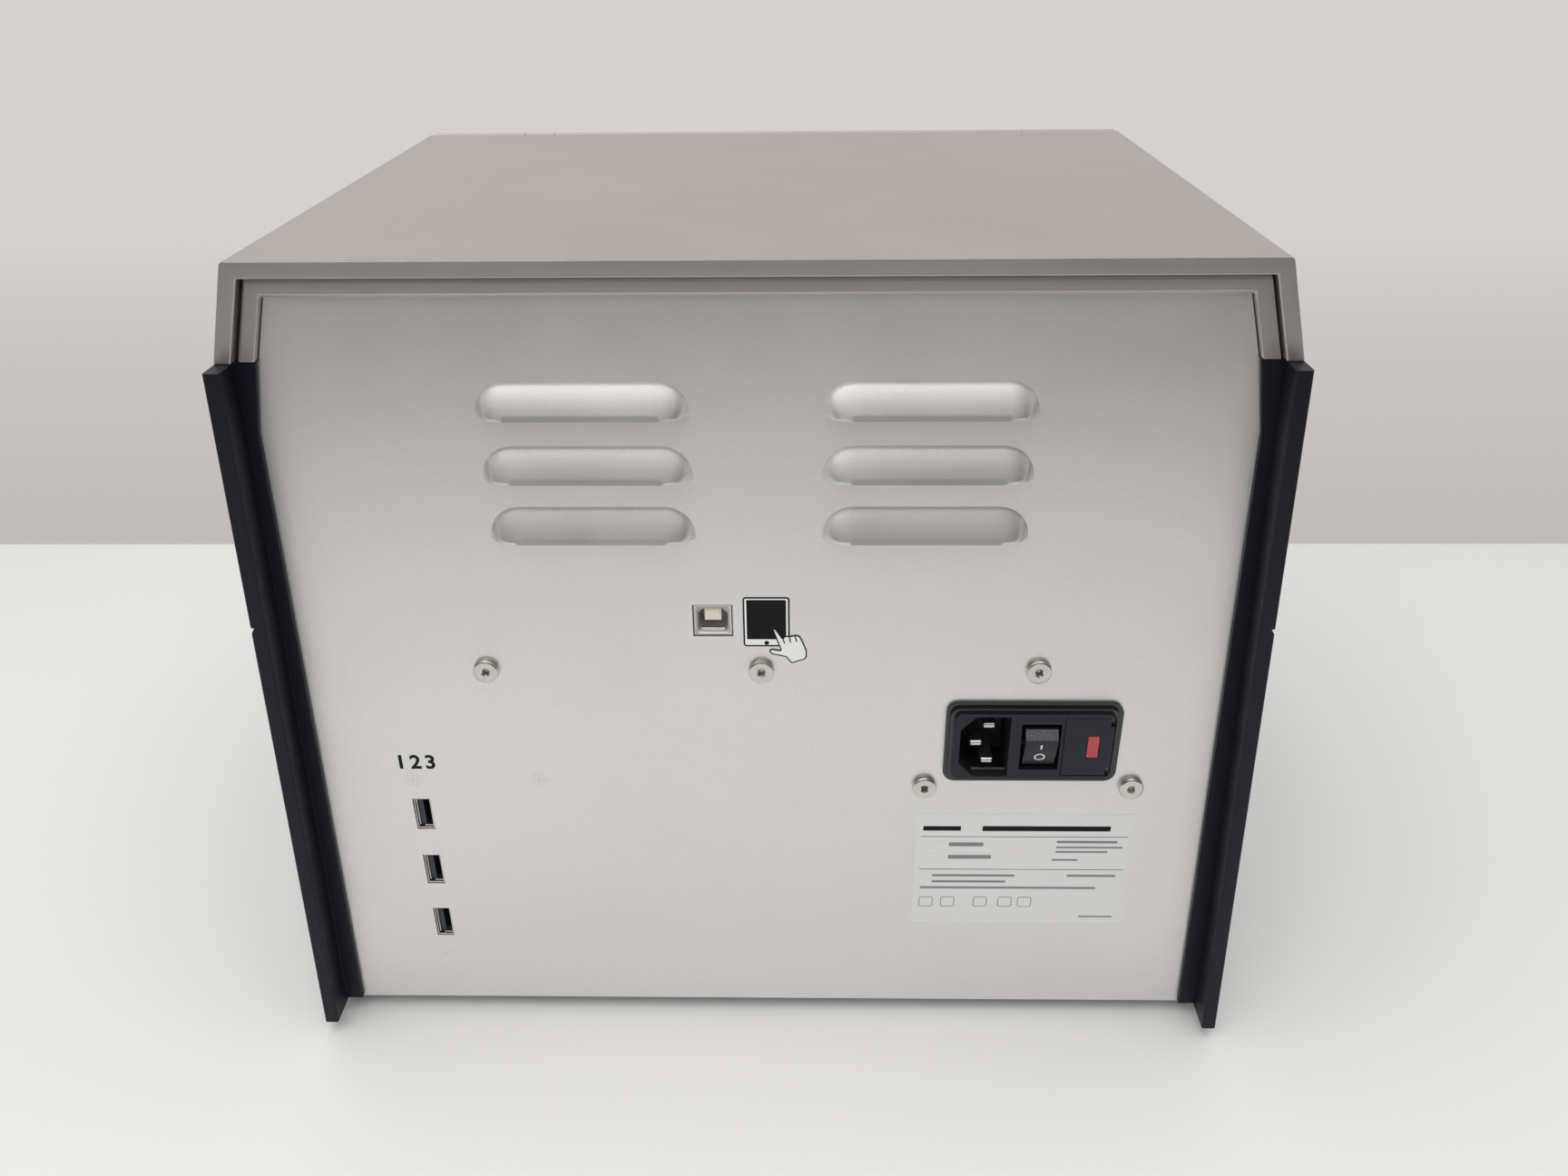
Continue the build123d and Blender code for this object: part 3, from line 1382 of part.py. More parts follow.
def door_section(run, inset):
    """Half of the door's section at run mm down the slope, shrunk by inset on its closed sides."""
    outer = top_half_width + half_grow * run - inset / cos(cover_lean)
    return (
        (outer + inset * cover_flare, -inset),
        (outer + cover_flare * door_depth, -door_depth),
    )


def door_blank(inset, floor):
    """The door's envelope down to height floor, shrunk by inset."""
    with BuildPart() as blank:
        for run in (0.0, slope_length):
            right = door_section(run, inset)
            with BuildSketch(door_origin.offset(run)):
                with BuildLine():
                    Polyline(*right, *((-x, y) for x, y in reversed(right)), close=True)
                make_face()
        loft(ruled=True)
        split(bisect_by=Plane.XY.offset(floor), keep=Keep.TOP)
    return blank.part


mitre = Plane(
    origin=(0, hinge_y, hinge_z),
    x_dir=(1, 0, 0),
    z_dir=(0, cos(mitre_angle), sin(mitre_angle)),
)
hinge_run = door_origin.to_local_coords(Vector(0, hinge_y, hinge_z)).Z
window_run = (window_inset_top + slope_length - window_inset_base) / 2
window_long = slope_length - window_inset_top - window_inset_base
window_half_x = top_half_width - window_inset_side
window_plane = Plane(
    origin=door_origin.offset(window_run).origin,
    x_dir=(1, 0, 0),
    z_dir=(0, -cos(slope_angle), sin(slope_angle)),
)
bead_half = top_half_width - edge_round
notch_half = hinge_half + hinge_notch
notch_run = 11.0

with BuildPart() as front_door:
    add(door_blank(0.0, door_base_z))
    add(door_blank(cover_wall, door_base_z + front_wall), mode=Mode.SUBTRACT)
    split(bisect_by=door_origin.offset(hinge_run), keep=Keep.TOP)
    split(bisect_by=mitre.offset(-mitre_gap), keep=Keep.BOTTOM)
    with BuildSketch(Plane.YZ.offset(-bead_half)):
        with Locations((hinge_y, hinge_z)):
            Circle(bead_radius)
    extrude(amount=2 * bead_half)
    with BuildSketch(window_plane):
        RectangleRounded(2 * window_half_x, window_long, window_corner)
    extrude(amount=-2 * cover_wall, mode=Mode.SUBTRACT)
    for x in (-hinge_x, hinge_x):
        notch_plane = Plane(origin=(x, hinge_y, hinge_z), x_dir=(1, 0, 0), z_dir=door_origin.z_dir)
        with Locations(notch_plane.location):
            Box(2 * notch_half, 4 * bead_radius, notch_run + 2 * bead_radius, mode=Mode.SUBTRACT)
    with BuildSketch(Plane.YZ.offset(-base_half_width)):
        with Locations((hinge_y, hinge_z)):
            Circle(rod_radius + run_gap)
    extrude(amount=2 * base_half_width, mode=Mode.SUBTRACT)
    with BuildSketch(Plane.XY.offset(door_base_z)):
        with Locations((0, magnet_y)):
            Rectangle(magnet_width + seat_gap, magnet_deep + seat_gap)
    extrude(amount=strike_thick, mode=Mode.SUBTRACT)
write(front_door, "front_door")

with BuildPart() as door_strike:
    with BuildSketch(Plane.XY.offset(door_base_z)):
        with Locations((0, magnet_y)):
            Rectangle(magnet_width, magnet_deep)
    extrude(amount=strike_thick)
write(door_strike, "door_strike")

with BuildPart() as door_window:
    with BuildSketch(window_plane.offset(-cover_wall)):
        RectangleRounded(2 * (window_half_x + pane_lap), window_long + 2 * pane_lap, window_corner + pane_lap)
    extrude(amount=-pane_thick)
write(door_window, "door_window")

bracket_thick = 3.0
bracket_top = top_height - cover_wall
with BuildPart() as hinge_brackets:
    for x in (-hinge_x, hinge_x):
        with BuildSketch(Plane.YZ.offset(x - hinge_half)):
            with Locations((hinge_y, hinge_z)):
                Circle(bead_radius - run_gap)
            with Locations((hinge_y + hinge_reach / 2, bracket_top - bracket_thick / 2)):
                Rectangle(hinge_reach, bracket_thick)
            with Locations((hinge_y, hinge_z)):
                Circle(rod_radius + shaft_seat, mode=Mode.SUBTRACT)
        extrude(amount=2 * hinge_half)
write(hinge_brackets, "hinge_brackets")

with BuildPart() as hinge_rod:
    with BuildSketch(Plane.YZ.offset(-bead_half)):
        with Locations((hinge_y, hinge_z)):
            Circle(rod_radius)
    extrude(amount=2 * bead_half)
write(hinge_rod, "hinge_rod")
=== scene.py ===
import json
from math import cos, pi, radians, sin, sqrt

import bmesh
import bpy
from mathutils import Matrix, Vector
from mathutils.bvhtree import BVHTree

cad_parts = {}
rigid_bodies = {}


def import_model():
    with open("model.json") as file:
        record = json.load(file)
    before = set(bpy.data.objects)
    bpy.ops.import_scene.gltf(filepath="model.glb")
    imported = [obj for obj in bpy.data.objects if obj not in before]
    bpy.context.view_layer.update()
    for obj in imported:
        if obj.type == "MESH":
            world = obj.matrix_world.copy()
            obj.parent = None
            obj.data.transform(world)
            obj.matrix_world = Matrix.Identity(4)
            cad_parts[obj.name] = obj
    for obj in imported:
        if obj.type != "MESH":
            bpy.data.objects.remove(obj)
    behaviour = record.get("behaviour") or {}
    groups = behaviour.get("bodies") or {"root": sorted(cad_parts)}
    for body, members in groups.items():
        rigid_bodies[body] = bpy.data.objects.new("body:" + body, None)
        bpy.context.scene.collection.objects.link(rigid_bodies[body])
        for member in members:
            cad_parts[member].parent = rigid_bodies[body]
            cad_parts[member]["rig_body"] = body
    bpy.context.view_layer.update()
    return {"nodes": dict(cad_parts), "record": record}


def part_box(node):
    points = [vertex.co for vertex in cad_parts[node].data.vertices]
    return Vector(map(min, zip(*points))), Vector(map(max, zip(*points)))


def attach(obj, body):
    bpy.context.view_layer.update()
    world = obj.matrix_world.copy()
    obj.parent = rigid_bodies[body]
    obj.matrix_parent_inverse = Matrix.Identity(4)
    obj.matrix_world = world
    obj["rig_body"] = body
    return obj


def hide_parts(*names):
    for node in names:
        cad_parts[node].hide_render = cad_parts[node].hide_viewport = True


mm = 0.001
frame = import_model()
nodes = frame["nodes"]
slotOf = {part["node"]: part["material_slot"] for part in frame["record"]["subparts"]}
print("frame:", len(nodes), "nodes")


# the view the instrument is seen from
cameraSetup = {
    "place": (-14.9, 491.8, 366.6),
    "pitch": 28.56,
    "yaw": 1.25,
    "roll": -0.58,
    "lens": 28.64,
    "sensor": 36.0,
}


def makeCamera(setup):
    pitch, yaw, roll = (radians(setup[key]) for key in ("pitch", "yaw", "roll"))
    flatAhead = Vector((sin(yaw), -cos(yaw), 0))
    flatRight = Vector((-cos(yaw), -sin(yaw), 0))
    ahead = cos(pitch) * flatAhead - sin(pitch) * Vector((0, 0, 1))
    above = cos(pitch) * Vector((0, 0, 1)) + sin(pitch) * flatAhead
    right = cos(roll) * flatRight + sin(roll) * above
    above = cos(roll) * above - sin(roll) * flatRight
    turn = Matrix((right, above, -ahead)).transposed().to_4x4()
    camera = bpy.data.objects.new("benchCamera", bpy.data.cameras.new("benchCamera"))
    camera.data.lens = setup["lens"]
    camera.data.sensor_width = setup["sensor"]
    camera.data.clip_start = 0.01
    camera.matrix_world = Matrix.Translation(Vector(setup["place"]) * mm) @ turn
    bpy.context.scene.collection.objects.link(camera)
    bpy.context.scene.camera = camera


makeCamera(cameraSetup)


# ---- shader helpers and shared effects
def addNode(tree, kind, inputs=None, **settings):
    node = tree.nodes.new(kind)
    for name, value in settings.items():
        setattr(node, name, value)
    for key, value in (inputs or {}).items():
        if isinstance(value, bpy.types.NodeSocket):
            tree.links.new(value, node.inputs[key])
        else:
            node.inputs[key].default_value = value
    return node


def newGroup(name, inputs, outputs):
    tree = bpy.data.node_groups.new(name, "ShaderNodeTree")
    for label, kind, value in inputs:
        tree.interface.new_socket(label, in_out="INPUT", socket_type=kind).default_value = value
    for label, kind in outputs:
        tree.interface.new_socket(label, in_out="OUTPUT", socket_type=kind)
    return tree, tree.nodes.new("NodeGroupInput").outputs, tree.nodes.new("NodeGroupOutput").inputs


def spread(tree, value, low, high, toLow=0.0, toHigh=1.0):
    keys = {"Value": value, "From Min": low, "From Max": high, "To Min": toLow, "To Max": toHigh}
    return addNode(tree, "ShaderNodeMapRange", keys).outputs[0]


def mixColor(tree, factor, first, second):
    return addNode(tree, "ShaderNodeMix", {0: factor, 6: first, 7: second}, data_type="RGBA").outputs[2]


def combine(tree, operation, first, second):
    return addNode(tree, "ShaderNodeMath", {0: first, 1: second}, operation=operation).outputs[0]


floatKind, colorKind, vectorKind = "NodeSocketFloat", "NodeSocketColor", "NodeSocketVector"


def makeFineGrain():
    tree, given, made = newGroup(
        "fineGrain",
        [
            ("Scale", floatKind, 900), ("Stretch", vectorKind, (1, 1, 1)), ("Depth", floatKind, 0.00003),
            ("Strength", floatKind, 0.3)
        ],
        [("Grain", floatKind), ("Normal", vectorKind)],
    )
    place = addNode(tree, "ShaderNodeTexCoord").outputs["Object"]
    pulled = addNode(
        tree, "ShaderNodeVectorMath", {0: place, 1: given["Stretch"]}, operation="MULTIPLY"
    ).outputs[0]
    noise = addNode(
        tree, "ShaderNodeTexNoise",
        {"Vector": pulled, "Scale": given["Scale"], "Detail": 2.0, "Roughness": 0.6}
    )
    bump = addNode(
        tree, "ShaderNodeBump",
        {"Strength": given["Strength"], "Distance": given["Depth"], "Height": noise.outputs[0]}
    )
    tree.links.new(noise.outputs[0], made["Grain"])
    tree.links.new(bump.outputs[0], made["Normal"])
    return tree


def makeToneDrift():
    tree, given, made = newGroup(
        "toneDrift",
        [("Color", colorKind, (1, 1, 1, 1)), ("Shade", colorKind, (0, 0, 0, 1)), ("Scale", floatKind, 12)],
        [("Color", colorKind)],
    )
    place = addNode(tree, "ShaderNodeTexCoord").outputs["Object"]
    noise = addNode(tree, "ShaderNodeTexNoise", {"Vector": place, "Scale": given["Scale"], "Detail": 3.0})
    tree.links.new(
        mixColor(tree, spread(tree, noise.outputs[0], 0.3, 0.7), given["Color"], given["Shade"]),
        made["Color"]
    )
    return tree


def makeTouchedSheen():
    tree, given, made = newGroup(
        "touchedSheen",
        [("Low", floatKind, 0.3), ("High", floatKind, 0.5), ("Scale", floatKind, 25)],
        [("Roughness", floatKind)],
    )
    place = addNode(tree, "ShaderNodeTexCoord").outputs["Object"]
    noise = addNode(
        tree, "ShaderNodeTexNoise",
        {"Vector": place, "Scale": given["Scale"], "Detail": 4.0, "Distortion": 0.6}
    )
    tree.links.new(spread(tree, noise.outputs[0], 0.35, 0.65, given["Low"], given["High"]), made["Roughness"])
    return tree


def makeSettledDust():
    tree, given, made = newGroup(
        "settledDust",
        [
            ("Color", colorKind, (1, 1, 1, 1)), ("Dust", colorKind, (0.6, 0.58, 0.55, 1)),
            ("Amount", floatKind, 0.1)
        ],
        [("Color", colorKind)],
    )
    place = addNode(tree, "ShaderNodeTexCoord").outputs["Object"]
    up = addNode(
        tree, "ShaderNodeSeparateXYZ", {0: addNode(tree, "ShaderNodeNewGeometry").outputs["Normal"]}
    ).outputs["Z"]
    noise = addNode(
        tree, "ShaderNodeTexNoise", {"Vector": place, "Scale": 60.0, "Detail": 6.0, "Roughness": 0.7}
    )
    lying = combine(tree, "MULTIPLY", spread(tree, up, 0.3, 1.0), spread(tree, noise.outputs[0], 0.4, 0.75))
    tree.links.new(
        mixColor(tree, combine(tree, "MULTIPLY", lying, given["Amount"]), given["Color"], given["Dust"]),
        made["Color"]
    )
    return tree


def makeEdgeWear():
    tree, given, made = newGroup(
        "edgeWear",
        [("Radius", floatKind, 0.0006), ("Amount", floatKind, 0.5), ("Scale", floatKind, 300)],
        [("Mask", floatKind)],
    )
    place = addNode(tree, "ShaderNodeTexCoord").outputs["Object"]
    rounded = addNode(tree, "ShaderNodeBevel", {"Radius": given["Radius"]}, samples=4).outputs[0]
    flat = addNode(tree, "ShaderNodeNewGeometry").outputs["Normal"]
    same = addNode(
        tree, "ShaderNodeVectorMath", {0: rounded, 1: flat}, operation="DOT_PRODUCT"
    ).outputs["Value"]
    edge = spread(tree, same, 0.98, 0.80)
    noise = addNode(
        tree, "ShaderNodeTexNoise",
        {"Vector": place, "Scale": given["Scale"], "Detail": 4.0, "Roughness": 0.7}
    )
    worn = combine(tree, "MULTIPLY", edge, spread(tree, noise.outputs[0], 0.52, 0.66))
    tree.links.new(combine(tree, "MULTIPLY", worn, given["Amount"]), made["Mask"])
    return tree


groups = {
    "grain": makeFineGrain(),
    "drift": makeToneDrift(),
    "sheen": makeTouchedSheen(),
    "dust": makeSettledDust(),
    "wear": makeEdgeWear(),
}


def useGroup(tree, name, inputs):
    node = tree.nodes.new("ShaderNodeGroup")
    node.node_tree = groups[name]
    for key, value in inputs.items():
        if isinstance(value, bpy.types.NodeSocket):
            tree.links.new(value, node.inputs[key])
        else:
            node.inputs[key].default_value = value
    return node.outputs


def opaque(color):
    return (*color, 1.0)


usualFinish = {
    "metallic": 0.0,
    "rough": (0.4, 0.5),
    "driftScale": 9.0,
    "grain": (900.0, 0.00003, 0.25),
    "stretch": (1, 1, 1),
    "speck": None,
    "wear": None,
    "dust": 0.0,
    "coat": 0.0,
    "clear": 0.0,
    "ior": 1.5,
    "specular": 0.5,
    "glow": 0.0,
}


def makeFinish(name, given):
    spec = {**usualFinish, **given}
    material = bpy.data.materials.new(name)
    material.use_nodes = True
    tree = material.node_tree
    shader = tree.nodes["Principled BSDF"]
    scale, depth, strength = spec["grain"]
    grain = useGroup(
        tree, "grain", {"Scale": scale, "Stretch": spec["stretch"], "Depth": depth, "Strength": strength}
    )
    drift = {"Color": opaque(spec["color"]), "Shade": opaque(spec["shade"]), "Scale": spec["driftScale"]}
    color = useGroup(tree, "drift", drift)["Color"]
    if spec["speck"]:
        tint, low, high = spec["speck"]
        color = mixColor(tree, spread(tree, grain["Grain"], low, high), color, opaque(tint))
    if spec["wear"]:
        tint, radius, amount = spec["wear"]
        worn = useGroup(tree, "wear", {"Radius": radius, "Amount": amount})["Mask"]
        color = mixColor(tree, worn, color, opaque(tint))
    if spec["dust"]:
        color = useGroup(tree, "dust", {"Color": color, "Amount": spec["dust"]})["Color"]
    low, high = spec["rough"]
    tree.links.new(color, shader.inputs["Base Color"])
    tree.links.new(
        useGroup(tree, "sheen", {"Low": low, "High": high})["Roughness"], shader.inputs["Roughness"]
    )
    tree.links.new(grain["Normal"], shader.inputs["Normal"])
    shader.inputs["Metallic"].default_value = spec["metallic"]
    shader.inputs["Coat Weight"].default_value = spec["coat"]
    shader.inputs["Coat Roughness"].default_value = 0.12
    shader.inputs["Transmission Weight"].default_value = spec["clear"]
    shader.inputs["IOR"].default_value = spec["ior"]
    shader.inputs["Specular IOR Level"].default_value = spec["specular"]
    if spec["glow"]:
        tree.links.new(color, shader.inputs["Emission Color"])
        shader.inputs["Emission Strength"].default_value = spec["glow"]
    material.diffuse_color = opaque(spec["color"])
    return material


finishes = {
    "silver_cover": {
        "color": (0.44, 0.415, 0.40), "shade": (0.455, 0.43, 0.415), "metallic": 0.85, "rough": (0.40, 0.44),
        "grain": (2600.0, 0.00002, 0.25), "speck": ((0.52, 0.50, 0.48), 0.62, 0.8), "driftScale": 5.0,
        "wear": ((0.06, 0.055, 0.05), 0.0005, 0.55), "dust": 0.05,
    },
    "bead_blast_panel": {
        "color": (0.74, 0.73, 0.715), "shade": (0.725, 0.715, 0.70), "metallic": 0.9, "rough": (0.36, 0.40),
        "grain": (2200.0, 0.00005, 0.5), "speck": ((0.84, 0.83, 0.81), 0.55, 0.8), "driftScale": 14.0,
    },
    "black_side": {
        "color": (0.0050, 0.0058, 0.0105), "shade": (0.006, 0.0066, 0.0110), "rough": (0.38, 0.48),
        "grain": (1700.0, 0.00004, 0.35), "wear": ((0.03, 0.032, 0.04), 0.0006, 0.5), "dust": 0.02,
        "specular": 0.22,
    },
    "black_module": {
        "color": (0.007, 0.0075, 0.009), "shade": (0.010, 0.011, 0.013), "rough": (0.16, 0.24),
        "grain": (1200.0, 0.00001, 0.1), "coat": 0.3,
    },
    "dark_plastic": {
        "color": (0.018, 0.018, 0.020), "shade": (0.026, 0.026, 0.028), "rough": (0.4, 0.55),
        "grain": (1400.0, 0.00004, 0.35), "dust": 0.08,
    },
    "grey_plastic": {
        "color": (0.30, 0.31, 0.32), "shade": (0.34, 0.35, 0.36), "rough": (0.38, 0.5),
        "grain": (1500.0, 0.00004, 0.3), "wear": ((0.5, 0.5, 0.5), 0.0005, 0.4),
    },
    "white_plastic": {
        "color": (0.76, 0.75, 0.71), "shade": (0.70, 0.69, 0.64), "rough": (0.35, 0.45),
        "grain": (1200.0, 0.00002, 0.2),
    },
    "red_lens": {
        "color": (0.40, 0.045, 0.055), "shade": (0.34, 0.03, 0.04), "rough": (0.18, 0.26),
        "grain": (700.0, 0.00002, 0.15), "coat": 0.4,
    },
    "nickel_screw": {
        "color": (0.66, 0.63, 0.59), "shade": (0.60, 0.57, 0.53), "metallic": 1.0, "rough": (0.24, 0.34),
        "grain": (1600.0, 0.00002, 0.2), "driftScale": 200.0,
    },
    "steel_sheet": {
        "color": (0.50, 0.51, 0.52), "shade": (0.42, 0.43, 0.45), "metallic": 0.9, "rough": (0.35, 0.5),
        "grain": (500.0, 0.00002, 0.2), "driftScale": 90.0, "wear": ((0.7, 0.7, 0.7), 0.0004, 0.4),
    },
    "supply_case": {
        "color": (0.56, 0.57, 0.58), "shade": (0.50, 0.51, 0.52), "metallic": 0.9, "rough": (0.35, 0.45),
        "grain": (600.0, 0.00002, 0.25), "stretch": (1, 1, 0.05),
    },
    "ground_steel": {
        "color": (0.66, 0.67, 0.68), "shade": (0.60, 0.61, 0.62), "metallic": 1.0, "rough": (0.14, 0.24),
        "grain": (1400.0, 0.00001, 0.2), "stretch": (0.06, 0.06, 1),
    },
    "machined_aluminium": {
        "color": (0.68, 0.685, 0.69), "shade": (0.62, 0.625, 0.63), "metallic": 1.0, "rough": (0.28, 0.4),
        "grain": (900.0, 0.00002, 0.3), "stretch": (0.05, 1, 1), "wear": ((0.85, 0.85, 0.85), 0.0005, 0.4),
    },
    "magnet_nickel": {
        "color": (0.70, 0.69, 0.66), "shade": (0.62, 0.61, 0.58), "metallic": 1.0, "rough": (0.1, 0.18),
        "grain": (1000.0, 0.00001, 0.1),
    },
    "brass_nut": {
        "color": (0.62, 0.43, 0.17), "shade": (0.50, 0.33, 0.12), "metallic": 1.0, "rough": (0.22, 0.34),
        "grain": (1300.0, 0.00002, 0.25), "stretch": (1, 1, 0.1), "driftScale": 60.0,
    },
    "board_green": {
        "color": (0.012, 0.10, 0.045), "shade": (0.02, 0.16, 0.07), "rough": (0.25, 0.35),
        "grain": (260.0, 0.00002, 0.3), "driftScale": 220.0, "speck": ((0.45, 0.36, 0.14), 0.70, 0.72),
    },
    "chip_black": {
        "color": (0.014, 0.014, 0.015), "shade": (0.022, 0.022, 0.023), "rough": (0.38, 0.5),
        "grain": (1500.0, 0.00003, 0.3),
    },
    "foot_rubber": {
        "color": (0.020, 0.020, 0.020), "shade": (0.035, 0.034, 0.033), "rough": (0.75, 0.9),
        "grain": (700.0, 0.00006, 0.5), "dust": 0.2,
    },
    "smoked_window": {
        "color": (0.20, 0.21, 0.22), "shade": (0.18, 0.19, 0.20), "rough": (0.01, 0.04),
        "grain": (40.0, 0.00001, 0.02), "clear": 1.0, "ior": 1.49,
    },
    "lamp_glass": {
        "color": (0.80, 0.86, 0.93), "shade": (0.74, 0.80, 0.88), "rough": (0.02, 0.06),
        "grain": (40.0, 0.00001, 0.03), "clear": 0.8, "ior": 1.47,
    },
    "fuse_glass": {
        "color": (0.80, 0.82, 0.80), "shade": (0.72, 0.74, 0.72), "rough": (0.02, 0.06),
        "grain": (60.0, 0.00001, 0.03), "clear": 0.8, "ior": 1.47,
    },
    "status_lens": {
        "color": (0.45, 0.72, 0.88), "shade": (0.55, 0.80, 0.92), "rough": (0.3, 0.4),
        "grain": (600.0, 0.00002, 0.1), "glow": 0.6, "driftScale": 120.0,
    },
    "slate_face": {
        "color": (0.0085, 0.0098, 0.0150), "shade": (0.010, 0.0115, 0.0175), "rough": (0.36, 0.44),
        "grain": (1900.0, 0.00003, 0.35), "specular": 0.3,
    },
    # black darker than the plastic around it: painted shade for the insides of cavities
    "shaded_cavity_black": {
        "color": (0.0025, 0.0025, 0.003), "shade": (0.004, 0.004, 0.0045), "rough": (0.55, 0.65),
        "grain": (900.0, 0.00002, 0.2),
    },
    "rocker_black": {
        "color": (0.009, 0.010, 0.014), "shade": (0.012, 0.013, 0.018), "rough": (0.32, 0.42),
        "grain": (2600.0, 0.00003, 0.4), "specular": 0.35,
    },
    # textured top face of the rocker; its lighter colour is partly real grain and partly painted highlight
    # where the light falls on that face
    "rocker_grain_and_highlight": {
        "color": (0.040, 0.041, 0.047), "shade": (0.052, 0.053, 0.060), "rough": (0.35, 0.45),
        "grain": (2600.0, 0.00005, 0.6), "speck": ((0.14, 0.143, 0.155), 0.52, 0.64),
    },
    "label_film": {
        "color": (0.63, 0.625, 0.615), "shade": (0.60, 0.595, 0.585), "rough": (0.42, 0.5),
        "grain": (800.0, 0.00001, 0.1),
    },
    "print_black": {
        "color": (0.004, 0.004, 0.004), "shade": (0.007, 0.007, 0.007), "rough": (0.45, 0.55),
        "grain": (1600.0, 0.00001, 0.2), "specular": 0.15,
    },
    "print_grey": {
        "color": (0.16, 0.16, 0.165), "shade": (0.20, 0.20, 0.205), "rough": (0.4, 0.5),
        "grain": (1600.0, 0.00001, 0.2),
    },
    "print_white": {
        "color": (0.74, 0.74, 0.73), "shade": (0.66, 0.66, 0.65), "rough": (0.45, 0.55),
        "grain": (1600.0, 0.00001, 0.2),
    },
    "stud_steel": {
        "color": (0.66, 0.63, 0.575), "shade": (0.63, 0.60, 0.55), "metallic": 0.25, "rough": (0.4, 0.5),
        "grain": (1500.0, 0.00002, 0.3),
    },
    # dark grey for the thin outline round the flush studs: painted shade of the gap between stud and panel
    "seam_shade_grey": {
        "color": (0.22, 0.21, 0.20), "shade": (0.30, 0.29, 0.28), "rough": (0.5, 0.6),
        "grain": (1500.0, 0.00002, 0.2), "driftScale": 300.0,
    },
    "link_metal": {
        "color": (0.60, 0.58, 0.55), "shade": (0.52, 0.50, 0.47), "metallic": 0.5, "rough": (0.35, 0.45),
        "grain": (1500.0, 0.00001, 0.15),
    },
    "ivory_tongue": {
        "color": (0.62, 0.60, 0.54), "shade": (0.56, 0.54, 0.48), "rough": (0.4, 0.5),
        "grain": (1500.0, 0.00001, 0.15),
    },
    "bluish_tongue": {
        "color": (0.020, 0.024, 0.038), "shade": (0.015, 0.018, 0.029), "rough": (0.35, 0.45),
        "grain": (1500.0, 0.00001, 0.15),
    },
    "contact_gold": {
        "color": (0.75, 0.52, 0.24), "shade": (0.66, 0.44, 0.18), "metallic": 1.0, "rough": (0.2, 0.3),
        "grain": (1200.0, 0.00001, 0.1),
    },
}
finishOf = {name: makeFinish(name, spec) for name, spec in finishes.items()}
for name, node in nodes.items():
    node.data.materials.clear()
    node.data.materials.append(finishOf[slotOf[name]])
print("finishes:", len(finishOf))


# ---- making pieces
def addPiece(name, shape, body, materials, smoothBelow=32, recalculate=True):
    if recalculate:
        bmesh.ops.recalc_face_normals(shape, faces=shape.faces)
    mesh = bpy.data.meshes.new(name)
    shape.to_mesh(mesh)
    shape.free()
    for material in materials:
        mesh.materials.append(finishOf[material])
    mesh.polygons.foreach_set("use_smooth", [True] * len(mesh.polygons))
    mesh.set_sharp_from_angle(angle=radians(smoothBelow))
    piece = bpy.data.objects.new(name, mesh)
    bpy.context.scene.collection.objects.link(piece)
    # large flats stay flat beside soft edges
    evenShading = piece.modifiers.new("evenShading", "WEIGHTED_NORMAL")
    evenShading.keep_sharp = True
    evenShading.weight = 90
    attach(piece, body)
    return piece


def mergedCopy(nodeName):
    shape = bmesh.new()
    shape.from_mesh(nodes[nodeName].data)
    bmesh.ops.remove_doubles(shape, verts=shape.verts, dist=0.002 * mm)
    bmesh.ops.dissolve_limit(shape, angle_limit=radians(1), verts=shape.verts, edges=shape.edges)
    return shape


def softenEdges(shape, width, segments=2, sharperThan=28, chosen=None):
    edges = [
        edge for edge in shape.edges
        if edge.is_manifold and edge.calc_face_angle(0) > radians(sharperThan)
        and (chosen is None or chosen(edge))
    ]
    bmesh.ops.bevel(
        shape, geom=edges, offset=width * mm, segments=segments, affect="EDGES",
        profile=0.5, material=-1, clamp_overlap=True,
    )


def paintFaces(shape, rules):
    for face in shape.faces:
        middle = face.calc_center_median()
        for index, holds in rules:
            if holds(middle, face.normal):
                face.material_index = index


# width of the softened edges in mm, for the pieces that keep their modelled shape
softEdges = {
    "top_cover": 0.5, "rear_frame": 0.35, "left_side_panel": 0.5, "right_side_panel": 0.5,
    "inlet_pins": 0.2, "fuse_drawer": 0.18, "fuse_lens": 0.3, "rubber_feet": 0.8, "front_panel": 0.6,
    "front_door": 0.6, "door_window": 0.4, "status_light": 0.3, "door_magnet": 0.4, "door_strike": 0.15,
    "hinge_brackets": 0.3, "head_carriage": 0.15, "sleeve_holder": 0.3, "gantry_frame": 0.15, "bulkhead": 0.3,
    "deck_platform": 0.6, "deck_tray": 0.7, "deck_motor": 0.8, "head_motor": 0.8, "lift_motor": 0.8,
    "deck_nut": 0.5, "head_nut": 0.5, "rail_carriages": 0.6, "deck_rails": 0.3, "screw_bearing": 0.5,
    "magnet_bar": 0.5, "lamp_holders": 0.5, "power_supply": 0.6, "fan_housing": 0.4, "fan_rotor": 0.2,
    "base_plate": 0.3, "bay_shelf": 0.25, "heater_blocks": 0.3, "left_frame_plate": 0.3,
    "right_frame_plate": 0.3, "guide_bushings": 0.3, "supply_bracket": 0.3, "clinch_studs": 0.22,
}
for name, width in softEdges.items():
    shape = mergedCopy(name)
    softenEdges(shape, width)
    piece = addPiece(
        f"{name}_finished", shape, nodes[name]["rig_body"], [slotOf[name]], recalculate=False
    )
    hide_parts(name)
print("softened pieces:", len(softEdges))


# ---- rear panel with its pressed louvres
rearPanel = {
    "face": 152.6,
    "edge": 0.2,
    "louvreWidth": 60.2,
    "louvreTall": 9.4,
    "louvreProud": 5.4,
    "louvreWall": 0.9,
    "skirt": 1.0,
    "corner": 8.4,
    "rings": 16,
    "soften": 0.03,
    "swell": 0.2,
    "endSteepness": 2.4,
    "columns": (-50.2, 50.2),
    "tops": (247.8, 228.1, 208.6),
}


